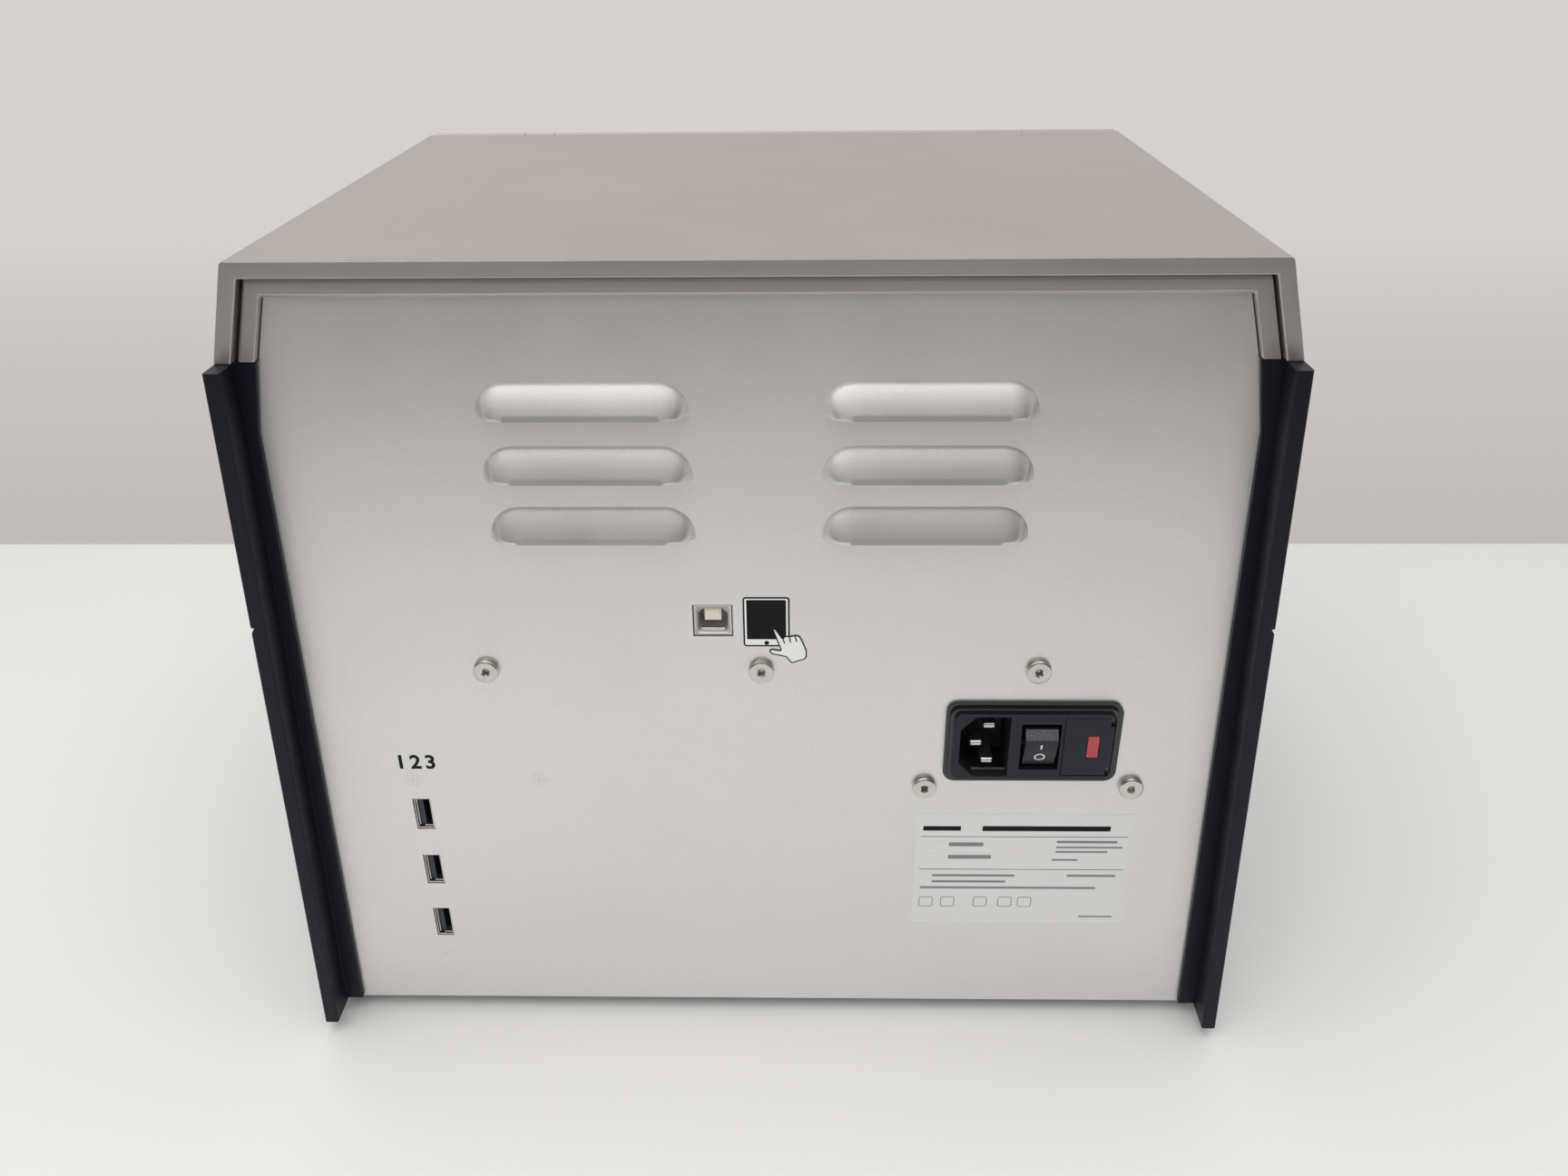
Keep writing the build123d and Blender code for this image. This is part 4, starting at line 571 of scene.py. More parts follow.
def hoodHeight(values, reach, halfWide, halfTall, x, z):
    arcX, arcZ = halfWide - reach, halfTall - reach
    down = arcZ + sqrt(max(reach**2 - max(x - arcX, 0) ** 2, 0)) - z
    inward = arcX + sqrt(max(reach**2 - max(z - arcZ, 0) ** 2, 0)) - x
    down, inward = (max(reached, 0) / halfTall for reached in (down, inward * values["endSteepness"]))
    along = min(down * inward / max((down**4 + inward**4) ** 0.25, 0.00001), 1)
    along *= (1 + values["soften"]) * along / (along + values["soften"])
    return values["louvreProud"] * (along - values["swell"] * along * (along - 1))


def pressedHood(values, x, top):
    shape = bmesh.new()
    reach = values["corner"] + values["skirt"]
    corners = [shape.verts.new((sideX, 0, sideZ)) for sideX, sideZ in ((-1, -1), (-1, 1), (1, 1), (1, -1))]
    oval = shape.faces.new(corners)
    halfWide = values["louvreWidth"] / 2 + values["skirt"]
    halfTall = values["louvreTall"] + values["skirt"]
    bmesh.ops.scale(shape, vec=(halfWide * mm, 1, halfTall * mm), verts=shape.verts)
    bmesh.ops.bevel(
        shape, geom=list(shape.verts), offset=reach * mm, segments=14, affect="VERTICES", profile=0.5,
        material=-1,
    )
    shape.faces.ensure_lookup_table()
    oval = shape.faces[0]
    if oval.normal.y < 0:
        oval.normal_flip()
    step = 0.96 * reach / values["rings"]
    for _ in range(values["rings"]):
        bmesh.ops.inset_region(
            shape, faces=[oval], use_even_offset=True, use_boundary=True, thickness=step * mm
        )
    for vert in shape.verts:
        vert.co.y = hoodHeight(
            values, reach, halfWide, halfTall, abs(vert.co.x) / mm, abs(vert.co.z) / mm
        ) * mm
    everything = list(shape.verts) + list(shape.edges) + list(shape.faces)
    bmesh.ops.bisect_plane(shape, geom=everything, plane_co=(0, 0, 0), plane_no=(0, 0, 1), clear_inner=True)
    bmesh.ops.solidify(shape, geom=list(shape.faces), thickness=values["louvreWall"] * mm)
    bmesh.ops.translate(
        shape, verts=shape.verts, vec=(x * mm, values["face"] * mm, (top - values["louvreTall"]) * mm)
    )
    bmesh.ops.recalc_face_normals(shape, faces=shape.faces)
    mesh = bpy.data.meshes.new("hood")
    shape.to_mesh(mesh)
    shape.free()
    return mesh


def makeRearPanel(values):
    sheet = mergedCopy("rear_panel")
    everything = list(sheet.verts) + list(sheet.edges) + list(sheet.faces)
    face = values["face"] * mm
    bmesh.ops.bisect_plane(
        sheet, geom=everything, plane_co=(0, face + 0.005 * mm, 0), plane_no=(0, 1, 0), clear_outer=True
    )
    rims = [edge for edge in sheet.edges if edge.is_boundary]
    bmesh.ops.triangle_fill(sheet, edges=rims, use_beauty=True, use_dissolve=True)
    softenEdges(sheet, values["edge"], segments=2, sharperThan=60)
    for x in values["columns"]:
        for top in values["tops"]:
            hood = pressedHood(values, x, top)
            sheet.from_mesh(hood)
            bpy.data.meshes.remove(hood)
    piece = addPiece(
        "rearPanelSheet", sheet, "root", ["bead_blast_panel"], recalculate=False
    )
    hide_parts("rear_panel")


makeRearPanel(rearPanel)
print("rear panel")


# ---- screws and flush studs on the rear panel
panelScrew = {
    "places": ((88.7, 152.0), (0.0, 152.0), (-88.7, 152.0), (-54.2, 105.9), (-123.6, 105.9)),
    "radius": 4.1,
    "groove": 3.7,
    "tall": 2.0,
    "socket": 1.2,
    "socketDeep": 1.3,
    "shank": 1.5,
    "shankLong": 6.0,
}


def spunProfile(points, steps):
    shape = bmesh.new()
    ring = [shape.verts.new((radius * mm, along * mm, 0)) for radius, along in points]
    edges = [shape.edges.new(pair) for pair in zip(ring, ring[1:])]
    bmesh.ops.spin(
        shape, geom=ring + edges, cent=(0, 0, 0), axis=(0, 1, 0), angle=2 * pi, steps=steps, use_merge=True
    )
    bmesh.ops.remove_doubles(shape, verts=shape.verts, dist=0.001 * mm)
    return shape


def screwShape(values):
    radius, tall = values["radius"], values["tall"]
    profile = [
        (0, -values["shankLong"]), (values["shank"] - 0.3, -values["shankLong"]),
        (values["shank"], 0.3 - values["shankLong"]),
        (values["shank"], 0), (radius - 0.15, 0), (radius, 0.12), (radius, 0.5), (radius - 0.12, 0.6),
        (values["groove"], 0.62), (values["groove"], 0.8), (radius - 0.12, 0.82), (radius, 0.92),
        (radius, tall - 0.55), (radius - 0.16, tall - 0.2), (radius - 0.5, tall - 0.02), (radius - 0.9, tall),
        (values["socket"] + 0.35, tall), (values["socket"] + 0.08, tall - 0.18),
    ]
    shape = spunProfile(profile, 48)
    rim = [edge for edge in shape.edges if edge.is_boundary]
    hexagon = bmesh.ops.create_circle(
        shape, segments=6, radius=values["socket"] * mm, cap_ends=False
    )["verts"]
    bmesh.ops.rotate(shape, verts=hexagon, matrix=Matrix.Rotation(-pi / 2, 3, "X"))
    bmesh.ops.translate(shape, verts=hexagon, vec=(0, (tall - 0.3) * mm, 0))
    hexEdges = list({edge for vert in hexagon for edge in vert.link_edges})
    bmesh.ops.bridge_loops(shape, edges=rim + hexEdges)
    walls = bmesh.ops.extrude_edge_only(shape, edges=hexEdges)["geom"]
    floor = [item for item in walls if isinstance(item, bmesh.types.BMVert)]
    bmesh.ops.translate(shape, verts=floor, vec=(0, -values["socketDeep"] * mm, 0))
    bmesh.ops.contextual_create(shape, geom=[item for item in walls if isinstance(item, bmesh.types.BMEdge)])
    return shape


def makeScrews(values):
    shape = bmesh.new()
    for turn, (x, z) in enumerate(values["places"]):
        one = screwShape(values)
        bmesh.ops.rotate(one, verts=one.verts, matrix=Matrix.Rotation(turn * 0.7, 3, "Y"))
        bmesh.ops.translate(one, verts=one.verts, vec=(x * mm, rearPanel["face"] * mm, z * mm))
        mesh = bpy.data.meshes.new("screw")
        one.to_mesh(mesh)
        one.free()
        shape.from_mesh(mesh)
        bpy.data.meshes.remove(mesh)
    piece = addPiece("panelScrews", shape, "root", ["nickel_screw"], smoothBelow=24)
    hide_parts("panel_screws")


makeScrews(panelScrew)
bpy.data.objects["clinch_studs_finished"].data.materials[0] = finishOf["stud_steel"]
print("screws")


# ---- flat printed shapes on the rear panel
def flatShape(points, y, roundOff=0.0):
    shape = bmesh.new()
    shape.faces.new([shape.verts.new((x * mm, y * mm, z * mm)) for x, z in points])
    if roundOff:
        bmesh.ops.bevel(
            shape, geom=list(shape.verts), offset=roundOff * mm, segments=4, affect="VERTICES", profile=0.5,
            material=-1,
        )
    shape.faces.ensure_lookup_table()
    if shape.faces[0].normal.y < 0:
        shape.faces[0].normal_flip()
    return shape


def thicken(shape, thick):
    grown = bmesh.ops.extrude_face_region(shape, geom=list(shape.faces))["geom"]
    top = [item for item in grown if isinstance(item, bmesh.types.BMVert)]
    bmesh.ops.translate(shape, verts=top, vec=(0, thick * mm, 0))


def boxPoints(x, z, wide, tall):
    sides = ((-1, -1), (1, -1), (1, 1), (-1, 1))
    return [(x + sideX * wide / 2, z + sideZ * tall / 2) for sideX, sideZ in sides]


def roundPoints(x, z, radius, sides):
    angles = [turn * pi / (sides / 2) for turn in range(sides)]
    return [(x + radius * cos(angle), z + radius * sin(angle)) for angle in angles]


def addFlat(name, points, slot, material, lift=0.0, thick=0.06, roundOff=0.0):
    shape = flatShape(points, rearPanel["face"] + lift, roundOff)
    thicken(shape, thick)
    return addPiece(name, shape, "root", [material])


def addOutlined(name, points, slot, line, fill, border, lift=0.0, thick=0.06, roundOff=0.0):
    shape = flatShape(points, rearPanel["face"] + lift, roundOff)
    shape.faces.ensure_lookup_table()
    bmesh.ops.inset_region(
        shape, faces=[shape.faces[0]], thickness=border * mm, use_even_offset=True, use_boundary=True
    )
    shape.faces.ensure_lookup_table()
    for face in shape.faces:
        face.material_index = 0
    max(shape.faces, key=lambda face: face.calc_area()).material_index = 1
    thicken(shape, thick)
    return addPiece(name, shape, "root", [line, fill])


pictogram = {
    "center": (-1.85, 169.75),
    "tablet": (14.7, 17.9),
    "screen": (12.4, 14.2),
    "screenRise": 0.85,
    "border": 0.55,
    "button": 0.75,
    "buttonRise": 1.35,
    "layers": (0.06, 0.13, 0.2),
    "rounds": (1.0, 0.3, 0.35),
    # across and up from the tablet's middle
    "hand": (
        (1.8, -2.6), (2.3, -2.1), (3.0, -2.5), (5.1, -5.9), (5.7, -5.0), (6.7, -5.0),
        (7.6, -5.0), (8.5, -4.8),
        (9.4, -4.7), (10.5, -5.0), (11.4, -6.8), (12.7, -10.2), (12.7, -12.8), (12.1, -13.7), (7.8, -15.2),
        (6.0, -12.8), (1.7, -11.8), (0.7, -11.0), (0.9, -10.2), (1.7, -9.8), (2.9, -10.0), (4.4, -10.3),
    ),
    "knuckles": (((5.1, -5.8), (5.7, -7.8)), ((7.15, -5.1), (7.5, -7.3)), ((8.95, -5.0), (9.5, -7.1))),
    "line": 0.42,
}


def makePictogram(values):
    x, z = values["center"]
    wide, tall = values["tablet"]
    first, second, third = values["layers"]
    frameRound, screenRound, handRound = values["rounds"]
    addOutlined(
        "tabletFrame", boxPoints(x, z, wide, tall), "white_plastic", "print_black", "print_white",
        values["border"], roundOff=frameRound
    )
    screenWide, screenTall = values["screen"]
    screen = boxPoints(x, z + values["screenRise"], screenWide, screenTall)
    addFlat("tabletScreen", screen, "dark_plastic", "print_black", lift=first, roundOff=screenRound)
    button = roundPoints(x, z - tall / 2 + values["buttonRise"], values["button"], 16)
    addFlat("tabletButton", button, "dark_plastic", "print_black", lift=first)
    hand = [(x - across, z + up) for across, up in values["hand"]]
    line = values["line"]
    addOutlined(
        "pointingHand", hand, "white_plastic", "print_black", "print_white", line, lift=second,
        roundOff=handRound
    )
    for number, ends in enumerate(values["knuckles"]):
        (fromX, fromZ), (toX, toZ) = ((x - across, z + up) for across, up in ends)
        stroke = [
            (fromX - line / 2, fromZ), (toX - line / 2, toZ), (toX + line / 2, toZ), (fromX + line / 2, fromZ)
        ]
        addFlat(f"handLine{number}", stroke, "dark_plastic", "print_black", lift=third, thick=0.02)


makePictogram(pictogram)

studMark = {
    "places": ((119.3, 107.8), (76.3, 107.8), (119.3, 28.1), (76.3, 28.1)),
    "corner": 3.3,
    "seam": 0.14,
    "dot": 0.22,
}


def makeStudMarks(values):
    for number, (x, z) in enumerate(values["places"]):
        # painted shade: a thin dark outline stands for the shaded gap round each stud
        seam = roundPoints(x, z, values["corner"], 6)
        addOutlined(
            f"studSeamShade{number}", seam, "nickel_screw", "seam_shade_grey", "stud_steel", values["seam"], thick=0.02
        )
        dot = roundPoints(x, z, values["dot"], 8)
        addFlat(f"studMark{number}", dot, "grey_plastic", "print_grey", lift=0.02, thick=0.02)


makeStudMarks(studMark)

portNumbers = {"text": "1 2 3", "size": 7.7, "center": (117.4, 114.8), "stroke": 0.2, "wordSpace": 0.55}


def makePortNumbers(values):
    curve = bpy.data.curves.new("portNumbers", "FONT")
    curve.body = values["text"]
    curve.size = values["size"] * mm
    curve.align_x = curve.align_y = "CENTER"
    curve.offset = values["stroke"] * mm
    curve.space_word = values["wordSpace"]
    curve.extrude = 0.03 * mm
    writing = bpy.data.objects.new("portNumbers", curve)
    bpy.context.scene.collection.objects.link(writing)
    bpy.context.view_layer.update()
    flat = bpy.data.meshes.new_from_object(writing.evaluated_get(bpy.context.evaluated_depsgraph_get()))
    bpy.data.objects.remove(writing)
    x, z = values["center"]
    turn = Matrix(
        ((-1, 0, 0, x * mm), (0, 0, 1, (rearPanel["face"] + 0.03) * mm), (0, 1, 0, z * mm), (0, 0, 0, 1))
    )
    flat.transform(turn)
    shape = bmesh.new()
    shape.from_mesh(flat)
    bpy.data.meshes.remove(flat)
    bmesh.ops.remove_doubles(shape, verts=shape.verts, dist=0.0005 * mm)
    addPiece("portNumerals", shape, "root", ["print_black"])


makePortNumbers(portNumbers)

ratingLabel = {
    "left": -52.1,
    "right": -127.6,
    "base": 44.6,
    "top": 93.8,
    "film": 0.1,
    "ink": 0.02,
    "rules": (84.0, 69.4),
    # across from the left edge, height of the middle, width, height, shade
    "bars": (
        (2.6, 87.6, 13.0, 2.0, "print_black"), (23.0, 87.6, 44.0, 2.2, "print_black"),
        (11.8, 80.6, 12.0, 1.7, "print_grey"), (11.8, 75.0, 15.0, 1.7, "print_grey"),
        (49.0, 81.8, 21.0, 1.1, "print_grey"), (49.0, 79.4, 23.0, 0.8, "print_grey"),
        (49.0, 77.4, 18.0, 0.8, "print_grey"),
        (48.0, 73.8, 9.0, 0.8, "print_grey"), (6.6, 66.6, 29.0, 1.0, "print_grey"),
        (6.6, 63.8, 26.0, 1.0, "print_grey"),
        (54.0, 66.6, 17.0, 1.0, "print_grey"), (2.6, 61.0, 62.0, 1.0, "print_grey"),
        (60.0, 47.6, 12.0, 0.7, "print_grey"),
    ),
    "boxes": ((2.6, 80.6, 7.6, 3.0), (2.6, 75.0, 7.6, 3.0)),
    "rings": ((4.9, 54.4), (12.6, 54.4), (24.2, 54.4), (33.0, 54.4), (40.0, 54.4)),
}


def makeLabel(values):
    left, right, base, top = (values[key] for key in ("left", "right", "base", "top"))
    middle = (left + right) / 2
    inked = {"lift": values["film"], "thick": values["ink"]}
    addFlat(
        "ratingLabel", boxPoints(middle, (base + top) / 2, left - right, top - base), "white_plastic",
        "label_film", thick=values["film"], roundOff=0.8
    )
    for number, z in enumerate(values["rules"]):
        addFlat(
            f"labelRule{number}", boxPoints(middle, z, left - right - 4, 0.22), "dark_plastic", "print_black",
            **inked
        )
    for number, (across, z, wide, tall, shade) in enumerate(values["bars"]):
        addFlat(
            f"labelBar{number}", boxPoints(left - across - wide / 2, z, wide, tall), "dark_plastic", shade,
            **inked, roundOff=0.3
        )
    for number, (across, z, wide, tall) in enumerate(values["boxes"]):
        addOutlined(
            f"labelBox{number}", boxPoints(left - across - wide / 2, z, wide, tall), "dark_plastic",
            "print_black", "label_film", 0.35, **inked,
        )
    for number, (across, z) in enumerate(values["rings"]):
        addOutlined(
            f"labelSquare{number}", boxPoints(left - across, z, 5.0, 4.6), "dark_plastic",
            "print_grey", "label_film", 0.3, **inked, roundOff=0.9,
        )


makeLabel(ratingLabel)
print("prints and label")


# ---- power module
module = {
    "center": (-88.8, 124.5),
    "face": 156.35,
    "inlet": (-72.8, 16.2, 23.6),
    "margin": 0.2,
    "cavityFrom": 0.5,
    "edge": 0.42,
}


def makeModule(values):
    shape = mergedCopy("inlet_housing")
    softenEdges(shape, values["edge"], segments=3, sharperThan=35)
    inletX, inletWide, inletTall = values["inlet"]
    z = values["center"][1]
    face = values["face"] * mm

    def onFace(middle, normal):
        return normal.y > 0.95 and middle.y > face - values["margin"] * mm

    def inCavity(middle, normal):
        across = abs(middle.x / mm - inletX) < inletWide / 2 + values["margin"]
        up = abs(middle.z / mm - z) < inletTall / 2 + values["margin"]
        return across and up and middle.y < face - values["cavityFrom"] * mm

    # the inlet's cavity gets the darker black: black plastic with painted shade of the recess
    paintFaces(shape, [(1, onFace), (2, inCavity)])
    materials = ["black_module", "slate_face", "shaded_cavity_black"]
    piece = addPiece("powerModule", shape, "root", materials, recalculate=False)
    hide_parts("inlet_housing")


makeModule(module)
bpy.data.objects["fuse_drawer_finished"].data.materials[0] = finishOf["slate_face"]

rocker = {
    "x": -91.0,
    "ridge": (158.95, 128.9),
    "heel": (155.15, 116.8),
    "ridgeLift": 2.0,
    "edge": 0.35,
    "lineAt": 0.23,
    "ringAt": 0.64,
    "lineSize": (0.55, 2.0),
    "ringRadius": 1.55,
    "ringWall": 0.26,
    "lift": 0.02,
}


def makeRocker(values):
    shape = mergedCopy("power_rocker")
    ridgeY, ridgeZ = values["ridge"]
    heelY = values["heel"][0]
    for vert in shape.verts:
        share = (vert.co.y / mm - heelY) / (ridgeY - heelY)
        if share > 0 and vert.co.z / mm < ridgeZ - values["ridgeLift"] + 0.5:
            vert.co.z += values["ridgeLift"] * share * mm
    softenEdges(shape, values["edge"], segments=2, sharperThan=30)
    # faces above the ridge get the lighter grained finish: real texture, and painted highlight for the light
    # falling on that face
    paintFaces(shape, [(1, lambda middle, normal: middle.z / mm > ridgeZ and normal.y > 0.2)])
    surface = BVHTree.FromBMesh(shape)
    materials = ["rocker_black", "rocker_grain_and_highlight"]
    piece = addPiece("rockerCap", shape, "power_rocker", materials, recalculate=False)
    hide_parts("power_rocker")
    ridge = Vector((values["x"], *values["ridge"])) * mm
    heel = Vector((values["x"], *values["heel"])) * mm
    down = (heel - ridge).normalized()
    out = Vector((1, 0, 0)).cross(down)
    if out.y < 0:
        out = -out

    def settle(mark, at):
        center = ridge.lerp(heel, at)
        for vert in mark.verts:
            start = center + vert.co.x * Vector((1, 0, 0)) + vert.co.y * down + out * 5 * mm
            hit = surface.ray_cast(start, -out)[0]
            vert.co = hit + out * (values["lift"] * mm + vert.co.z)

    line = bmesh.new()
    bmesh.ops.create_grid(line, x_segments=1, y_segments=6, size=0.5)
    wide, tall = values["lineSize"]
    bmesh.ops.scale(line, vec=(wide * mm, tall * mm, 1), verts=line.verts)
    settle(line, values["lineAt"])
    addPiece("switchLine", line, "power_rocker", ["print_white"])
    ring = bmesh.new()
    outer = bmesh.ops.create_circle(
        ring, segments=36, radius=(values["ringRadius"] + values["ringWall"]) * mm
    )["verts"]
    inner = bmesh.ops.create_circle(
        ring, segments=36, radius=(values["ringRadius"] - values["ringWall"]) * mm
    )["verts"]
    bmesh.ops.bridge_loops(ring, edges=list({edge for vert in outer + inner for edge in vert.link_edges}))
    settle(ring, values["ringAt"])
    addPiece("switchRing", ring, "power_rocker", ["print_white"])


makeRocker(rocker)
print("power module")


# ---- data sockets
sockets = {
    "linkSide": 60.0,
    "edge": 0.12,
    "link": (15.0, 170.2),
    "frame": (11.8, 10.6),
    "mouth": 152.2,
    "depth": 13.0,
    "cavity": (
        (-4.7, -2.8), (-4.7, 2.5), (-3.1, 4.2), (3.1, 4.2), (4.7, 2.5), (4.7, -2.8), (3.2, -4.2), (-3.2, -4.2)
    ),
    "cavityDeep": 9.0,
    # depth behind the mouth from which the shells' inner faces get painted shade
    "paintedShadeFrom": 0.15,
    "tongue": (5.3, 4.6, 1.8),
    "tongueIn": 1.0,
    "tongueClear": 0.1,
    "contact": (0.5, 1.1, 0.1),
    "contactRise": 1.6,
    "lip": (7.4, 1.3, 0.9, 3.5),
    "lipIn": 0.4,
    "contacts": (-1.95, -0.65, 0.65, 1.95),
    "ports": ((117.8, 93.0), (117.8, 68.2), (117.8, 43.4)),
    "spring": (2.1, 0.35, 10.8, 5.0),
    "springIn": 0.6,
    "latch": (-0.9, -5.6, 3.0, 0.5, 3.0),
    "latchIn": 0.5,
}


def boxShape(shape, x, y, z, size):
    wide, deep, tall = size
    made = bmesh.ops.create_cube(shape, size=1.0)["verts"]
    bmesh.ops.scale(shape, vec=(wide * mm, deep * mm, tall * mm), verts=made)
    bmesh.ops.translate(shape, vec=(x * mm, (y - deep / 2) * mm, z * mm), verts=made)


def edgeLoop(shape, points, y):
    verts = [shape.verts.new((x * mm, y * mm, z * mm)) for x, z in points]
    return [shape.edges.new(pair) for pair in zip(verts, verts[1:] + verts[:1])]


def closeBack(shape, edges, depth):
    grown = bmesh.ops.extrude_edge_only(shape, edges=edges)["geom"]
    verts = [item for item in grown if isinstance(item, bmesh.types.BMVert)]
    bmesh.ops.translate(shape, verts=verts, vec=(0, -depth * mm, 0))
    far = [edge for edge in grown if isinstance(edge, bmesh.types.BMEdge) and set(edge.verts) <= set(verts)]
    bmesh.ops.contextual_create(shape, geom=far)


def makeSockets(values):
    shells = mergedCopy("port_shells")
    gone = [vert for vert in shells.verts if vert.co.x / mm < values["linkSide"]]
    bmesh.ops.delete(shells, geom=gone, context="VERTS")
    softenEdges(shells, values["edge"], segments=2, sharperThan=35)
    x, z = values["link"]
    mouth = values["mouth"]
    rim = edgeLoop(shells, boxPoints(x, z, *values["frame"]), mouth)
    cavity = edgeLoop(shells, [(x + across, z + up) for across, up in values["cavity"]], mouth)
    bmesh.ops.triangle_fill(shells, edges=rim + cavity, use_beauty=True)
    closeBack(shells, rim, values["depth"])
    closeBack(shells, cavity, values["cavityDeep"])
    # painted shade: the socket shells' inner faces past the mouth get the dark cavity finish in place of
    # metal
    paintFaces(shells, [
        (
            1, lambda middle,
            normal: middle.x / mm > values["linkSide"] and middle.y / mm < mouth - values["paintedShadeFrom"]
        ),
        (2, lambda middle, normal: middle.x / mm < values["linkSide"]),
    ])
    lipWide, lipTall, lipDeep, lipDrop = values["lip"]
    boxShape(shells, x, mouth - values["lipIn"], z - lipDrop, (lipWide, lipDeep, lipTall))
    wide, thick, tall, deep = values["spring"]
    latchX, latchZ, latchWide, latchTall, latchDeep = values["latch"]
    for portX, portZ in values["ports"]:
        boxShape(shells, portX + wide, mouth - values["springIn"], portZ, (thick, deep, tall))
        boxShape(
            shells, portX + latchX, mouth - values["latchIn"], portZ + latchZ,
            (latchWide, latchDeep, latchTall)
        )
    piece = addPiece(
        "socketShells", shells, "root", ["nickel_screw", "shaded_cavity_black", "link_metal"]
    )
    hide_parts("port_shells")

    tongues = mergedCopy("port_tongues")
    gone = [vert for vert in tongues.verts if vert.co.x / mm < values["linkSide"]]
    bmesh.ops.delete(tongues, geom=gone, context="VERTS")
    paintFaces(tongues, [(1, lambda middle, normal: True)])
    wide, tall, drop = values["tongue"]
    face = mouth - values["tongueIn"]
    boxShape(
        tongues, x, face, z + drop,
        (wide, values["cavityDeep"] - values["tongueIn"] - values["tongueClear"], tall)
    )
    for side in tongues.faces:
        if side.calc_center_median().x / mm < values["linkSide"]:
            side.material_index = 0
    softenEdges(tongues, values["edge"], segments=2, sharperThan=35)
    piece = addPiece("socketTongues", tongues, "root", ["ivory_tongue", "bluish_tongue"])
    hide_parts("port_tongues")

    contacts = bmesh.new()
    contactWide, contactTall, proud = values["contact"]
    for across in values["contacts"]:
        boxShape(
            contacts, x + across, face + proud, z + drop + values["contactRise"],
            (contactWide, proud * 2, contactTall)
        )
    addPiece("linkContacts", contacts, "root", ["contact_gold"])


makeSockets(sockets)
print("sockets")


# ---- threads on the lead screws
threads = {
    "deck_lead_screw": {"radius": 4.0, "root": 3.3, "pitch": 8.0, "starts": 4},
    "head_lead_screw": {"radius": 4.0, "root": 3.3, "pitch": 8.0, "starts": 4},
    "lift_screw": {"radius": 3.0, "root": 2.4, "pitch": 8.0, "starts": 4},
}


def makeThread(name, values, steps=20):
    low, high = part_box(name)
    size = high - low
    axis = max(range(3), key=lambda index: size[index])
    center = (low + high) / 2
    start = center.copy()
    start[axis] = low[axis]
    along = Vector([1.0 if index == axis else 0.0 for index in range(3)])
    across = Vector((1, 0, 0)) if axis != 0 else Vector((0, 1, 0))
    lead = values["pitch"] * mm
    step = lead / values["starts"]
    turns = int(size[axis] / lead) - 1
    shape = bmesh.new()
    for beginning in range(values["starts"]):
        shift = start + along * (beginning * step + 0.1 * mm)
        profile = [
            (values["root"], 0.0), (values["radius"], 0.28), (values["radius"], 0.58), (values["root"], 0.86),
            (values["root"], 1.0),
        ]
        points = [
            shape.verts.new(shift + across * radius * mm + along * share * step) for radius, share in profile
        ]
        edges = [shape.edges.new(pair) for pair in zip(points, points[1:])]
        bmesh.ops.spin(
            shape, geom=points + edges, cent=center, axis=along, dvec=along * lead / steps,
            angle=2 * pi * turns, steps=steps * turns, use_merge=False,
        )
    bmesh.ops.remove_doubles(shape, verts=shape.verts, dist=0.002 * mm)
    ends = bmesh.ops.create_cone(
        shape, cap_ends=True, segments=24, radius1=values["root"] * mm + 0.00002,
        radius2=values["root"] * mm + 0.00002,
        depth=size[axis],
    )["verts"]
    if axis == 1:
        bmesh.ops.rotate(shape, verts=ends, matrix=Matrix.Rotation(pi / 2, 3, "X"))
    bmesh.ops.translate(shape, verts=ends, vec=center)
    piece = addPiece(f"{name}_threaded", shape, nodes[name]["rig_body"], [slotOf[name]])
    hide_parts(name)


for name, values in threads.items():
    makeThread(name, values)
print("lead screws")


# ---- round magnet rods
rods = {
    "plates": (-46.5, 46.5),
    "columns": (-27.0, 27.0),
    "middle": -32.0,
    "count": 8,
    "pitch": 9.0,
    "radius": 2.45,
    "tipRadius": 2.1,
    "tip": 1.2,
}


def makeRods(values):
    low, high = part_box("magnet_rods")
    shape = bmesh.new()
    radius, tip = values["radius"] * mm, values["tip"] * mm
    tipPart = {"radius1": values["tipRadius"] * mm, "radius2": radius, "depth": tip}
    stem = {"radius1": radius, "radius2": radius, "depth": high.z - low.z - tip}
    parts = ((tipPart, low.z + tip / 2), (stem, (low.z + high.z) / 2 + tip / 2))
    for plate in values["plates"]:
        for column in values["columns"]:
            for row in range(values["count"]):
                x = plate + (row - (values["count"] - 1) / 2) * values["pitch"]
                for part, z in parts:
                    made = bmesh.ops.create_cone(shape, cap_ends=True, segments=20, **part)["verts"]
                    place = (x * mm, (column + values["middle"]) * mm, z)
                    bmesh.ops.translate(shape, verts=made, vec=place)
    piece = addPiece("magnetRodsRound", shape, "magnet_lift", ["magnet_nickel"])
    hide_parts("magnet_rods")


makeRods(rods)


# ---- bench, light and surroundings
room = {
    "bench": (0.68, 0.675, 0.665),
    "wall": (0.665, 0.638, 0.617),
    # painted shade at the foot of the wall
    "wallFootShade": (0.53, 0.50, 0.478),
    "wallFade": -1.1,
    "wallLine": -0.242,
    "surround": 0.42,
    "benchSize": 6.0,
    "benchRough": 0.55,
    "aim": (0.0, 0.0, 0.15),
    "softBox": 27.0,
    "softBoxSize": 2.0,
    "softBoxPlace": (0.1, 0.3, 1.5),
    "fill": 8.6,
    "fillSize": 1.6,
    "fillPlace": (0.3, 1.6, 0.9),
    "darkCard": (0.05, 0.048, 0.046),
    "darkCardSize": (3.0, 0.9),
    "darkCardPlace": (0.0, 0.75, 0.45),
}


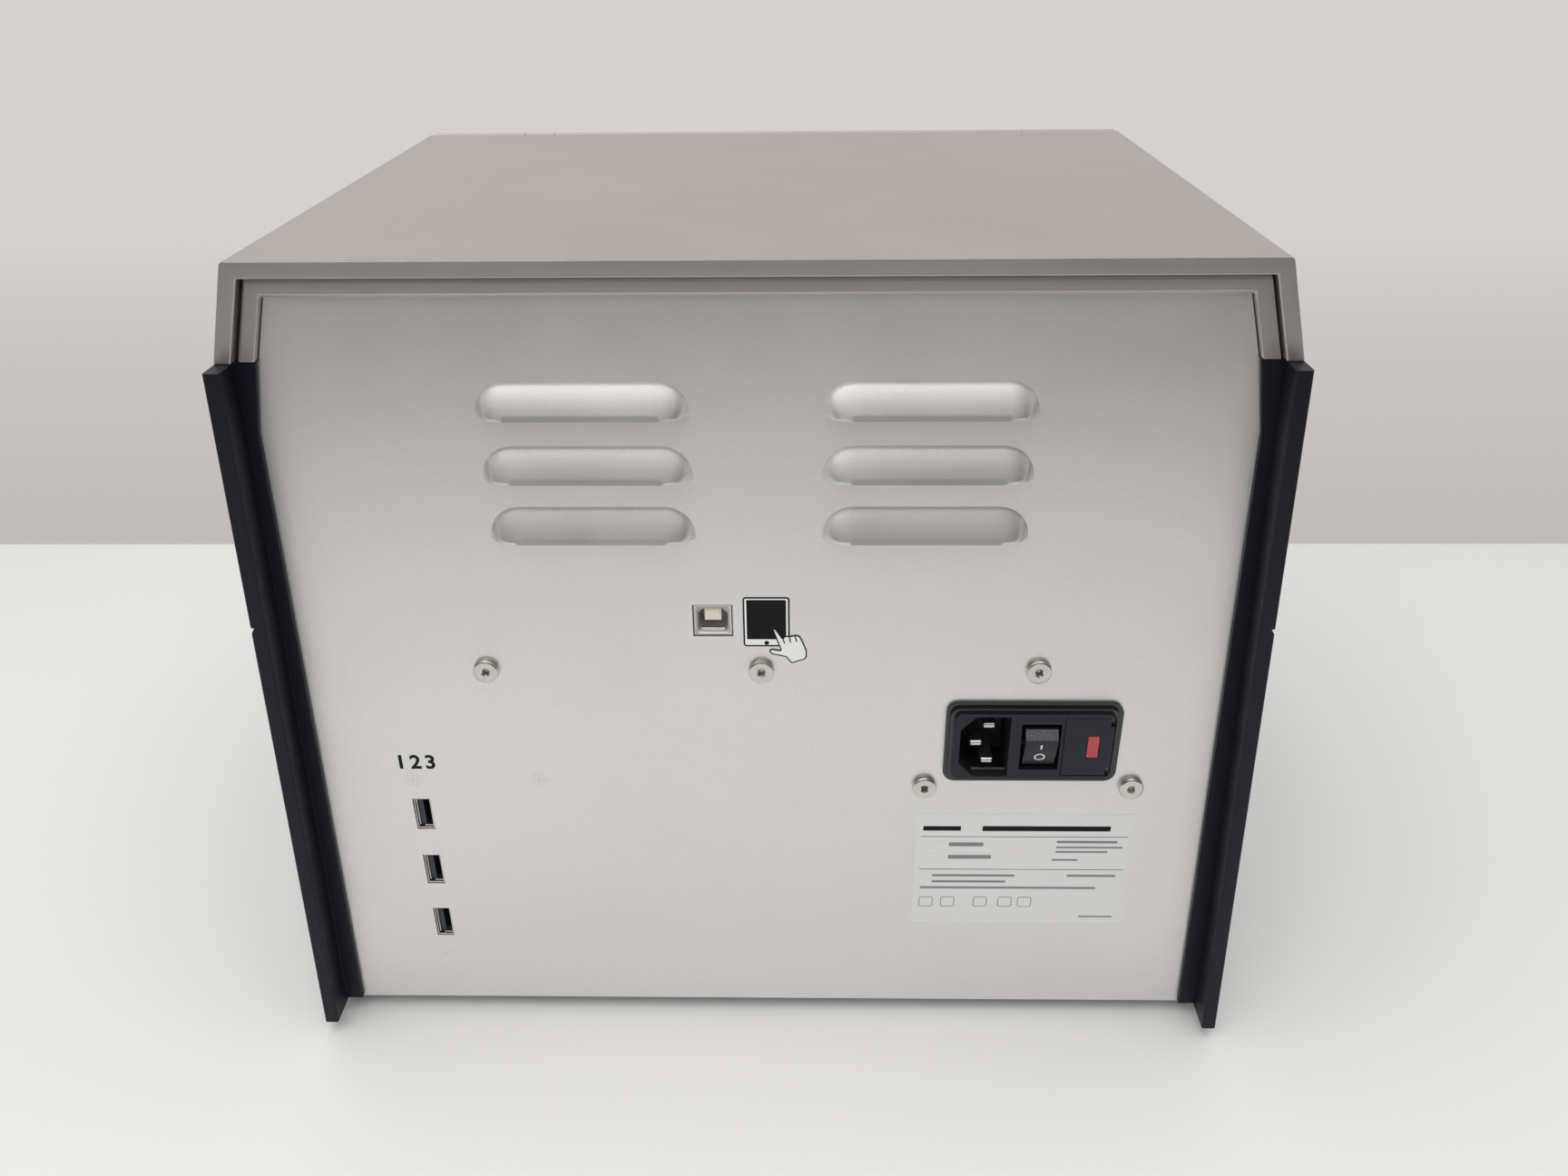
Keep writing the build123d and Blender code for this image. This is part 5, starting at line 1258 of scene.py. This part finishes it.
def makeRoom(values):
    scene = bpy.context.scene
    shape = bmesh.new()
    bmesh.ops.create_grid(shape, x_segments=1, y_segments=1, size=values["benchSize"])
    mesh = bpy.data.meshes.new("bench")
    shape.to_mesh(mesh)
    shape.free()
    bench = bpy.data.objects.new("bench", mesh)
    scene.collection.objects.link(bench)
    material = bpy.data.materials.new("benchTop")
    material.use_nodes = True
    tree = material.node_tree
    shader = tree.nodes["Principled BSDF"]
    shader.inputs["Base Color"].default_value = opaque(values["bench"])
    shader.inputs["Roughness"].default_value = values["benchRough"]
    place = addNode(tree, "ShaderNodeTexCoord").outputs["Object"]
    depth = addNode(tree, "ShaderNodeSeparateXYZ", {0: place}).outputs["Y"]
    beyond = combine(tree, "LESS_THAN", depth, values["wallLine"])
    seen = combine(tree, "MULTIPLY", beyond, addNode(tree, "ShaderNodeLightPath").outputs["Is Camera Ray"])
    # painted shade: the wall drawn on the bench is darker at its foot and fades to the plain wall colour by
    # wallFade
    fade = spread(tree, depth, values["wallLine"], values["wallFade"])
    wallColor = mixColor(tree, fade, opaque(values["wallFootShade"]), opaque(values["wall"]))
    wall = addNode(tree, "ShaderNodeEmission", {"Color": wallColor})
    mixed = addNode(tree, "ShaderNodeMixShader", {0: seen, 1: shader.outputs[0], 2: wall.outputs[0]})
    tree.links.new(mixed.outputs[0], tree.nodes["Material Output"].inputs["Surface"])
    bench.data.materials.append(material)

    # the unlit side of the room, seen only in reflections
    shape = bmesh.new()
    bmesh.ops.create_grid(shape, x_segments=1, y_segments=1, size=0.5)
    wide, tall = values["darkCardSize"]
    bmesh.ops.scale(shape, vec=(wide, tall, 1), verts=shape.verts)
    bmesh.ops.rotate(shape, verts=shape.verts, matrix=Matrix.Rotation(pi / 2, 3, "X"))
    bmesh.ops.translate(shape, verts=shape.verts, vec=values["darkCardPlace"])
    mesh = bpy.data.meshes.new("darkCard")
    shape.to_mesh(mesh)
    shape.free()
    card = bpy.data.objects.new("darkCard", mesh)
    scene.collection.objects.link(card)
    card.visible_camera = card.visible_diffuse = card.visible_shadow = card.visible_transmission = False
    material = bpy.data.materials.new("darkCard")
    material.use_nodes = True
    tree = material.node_tree
    glow = addNode(tree, "ShaderNodeEmission", {"Color": opaque(values["darkCard"])})
    tree.links.new(glow.outputs[0], tree.nodes["Material Output"].inputs["Surface"])
    card.data.materials.append(material)

    world = bpy.data.worlds.new("room")
    scene.world = world
    world.use_nodes = True
    tree = world.node_tree
    background = tree.nodes["Background"]
    light = addNode(tree, "ShaderNodeLightPath").outputs
    shown = combine(
        tree, "MAXIMUM", light["Is Camera Ray"],
        combine(tree, "MAXIMUM", light["Is Glossy Ray"], light["Is Transmission Ray"])
    )
    tree.links.new(
        mixColor(tree, shown, opaque((values["surround"],) * 3), opaque(values["wall"])),
        background.inputs["Color"]
    )

    for name, power, size, spot in (
        ("softBox", values["softBox"], values["softBoxSize"], values["softBoxPlace"]),
        ("fillPanel", values["fill"], values["fillSize"], values["fillPlace"]),
    ):
        lamp = bpy.data.objects.new(name, bpy.data.lights.new(name, "AREA"))
        lamp.data.energy = power
        lamp.data.size = size
        lamp.location = spot
        lamp.rotation_euler = (Vector(values["aim"]) - Vector(spot)).to_track_quat("-Z", "Y").to_euler()
        scene.collection.objects.link(lamp)
    scene.view_settings.view_transform = "Standard"


makeRoom(room)
print("room")
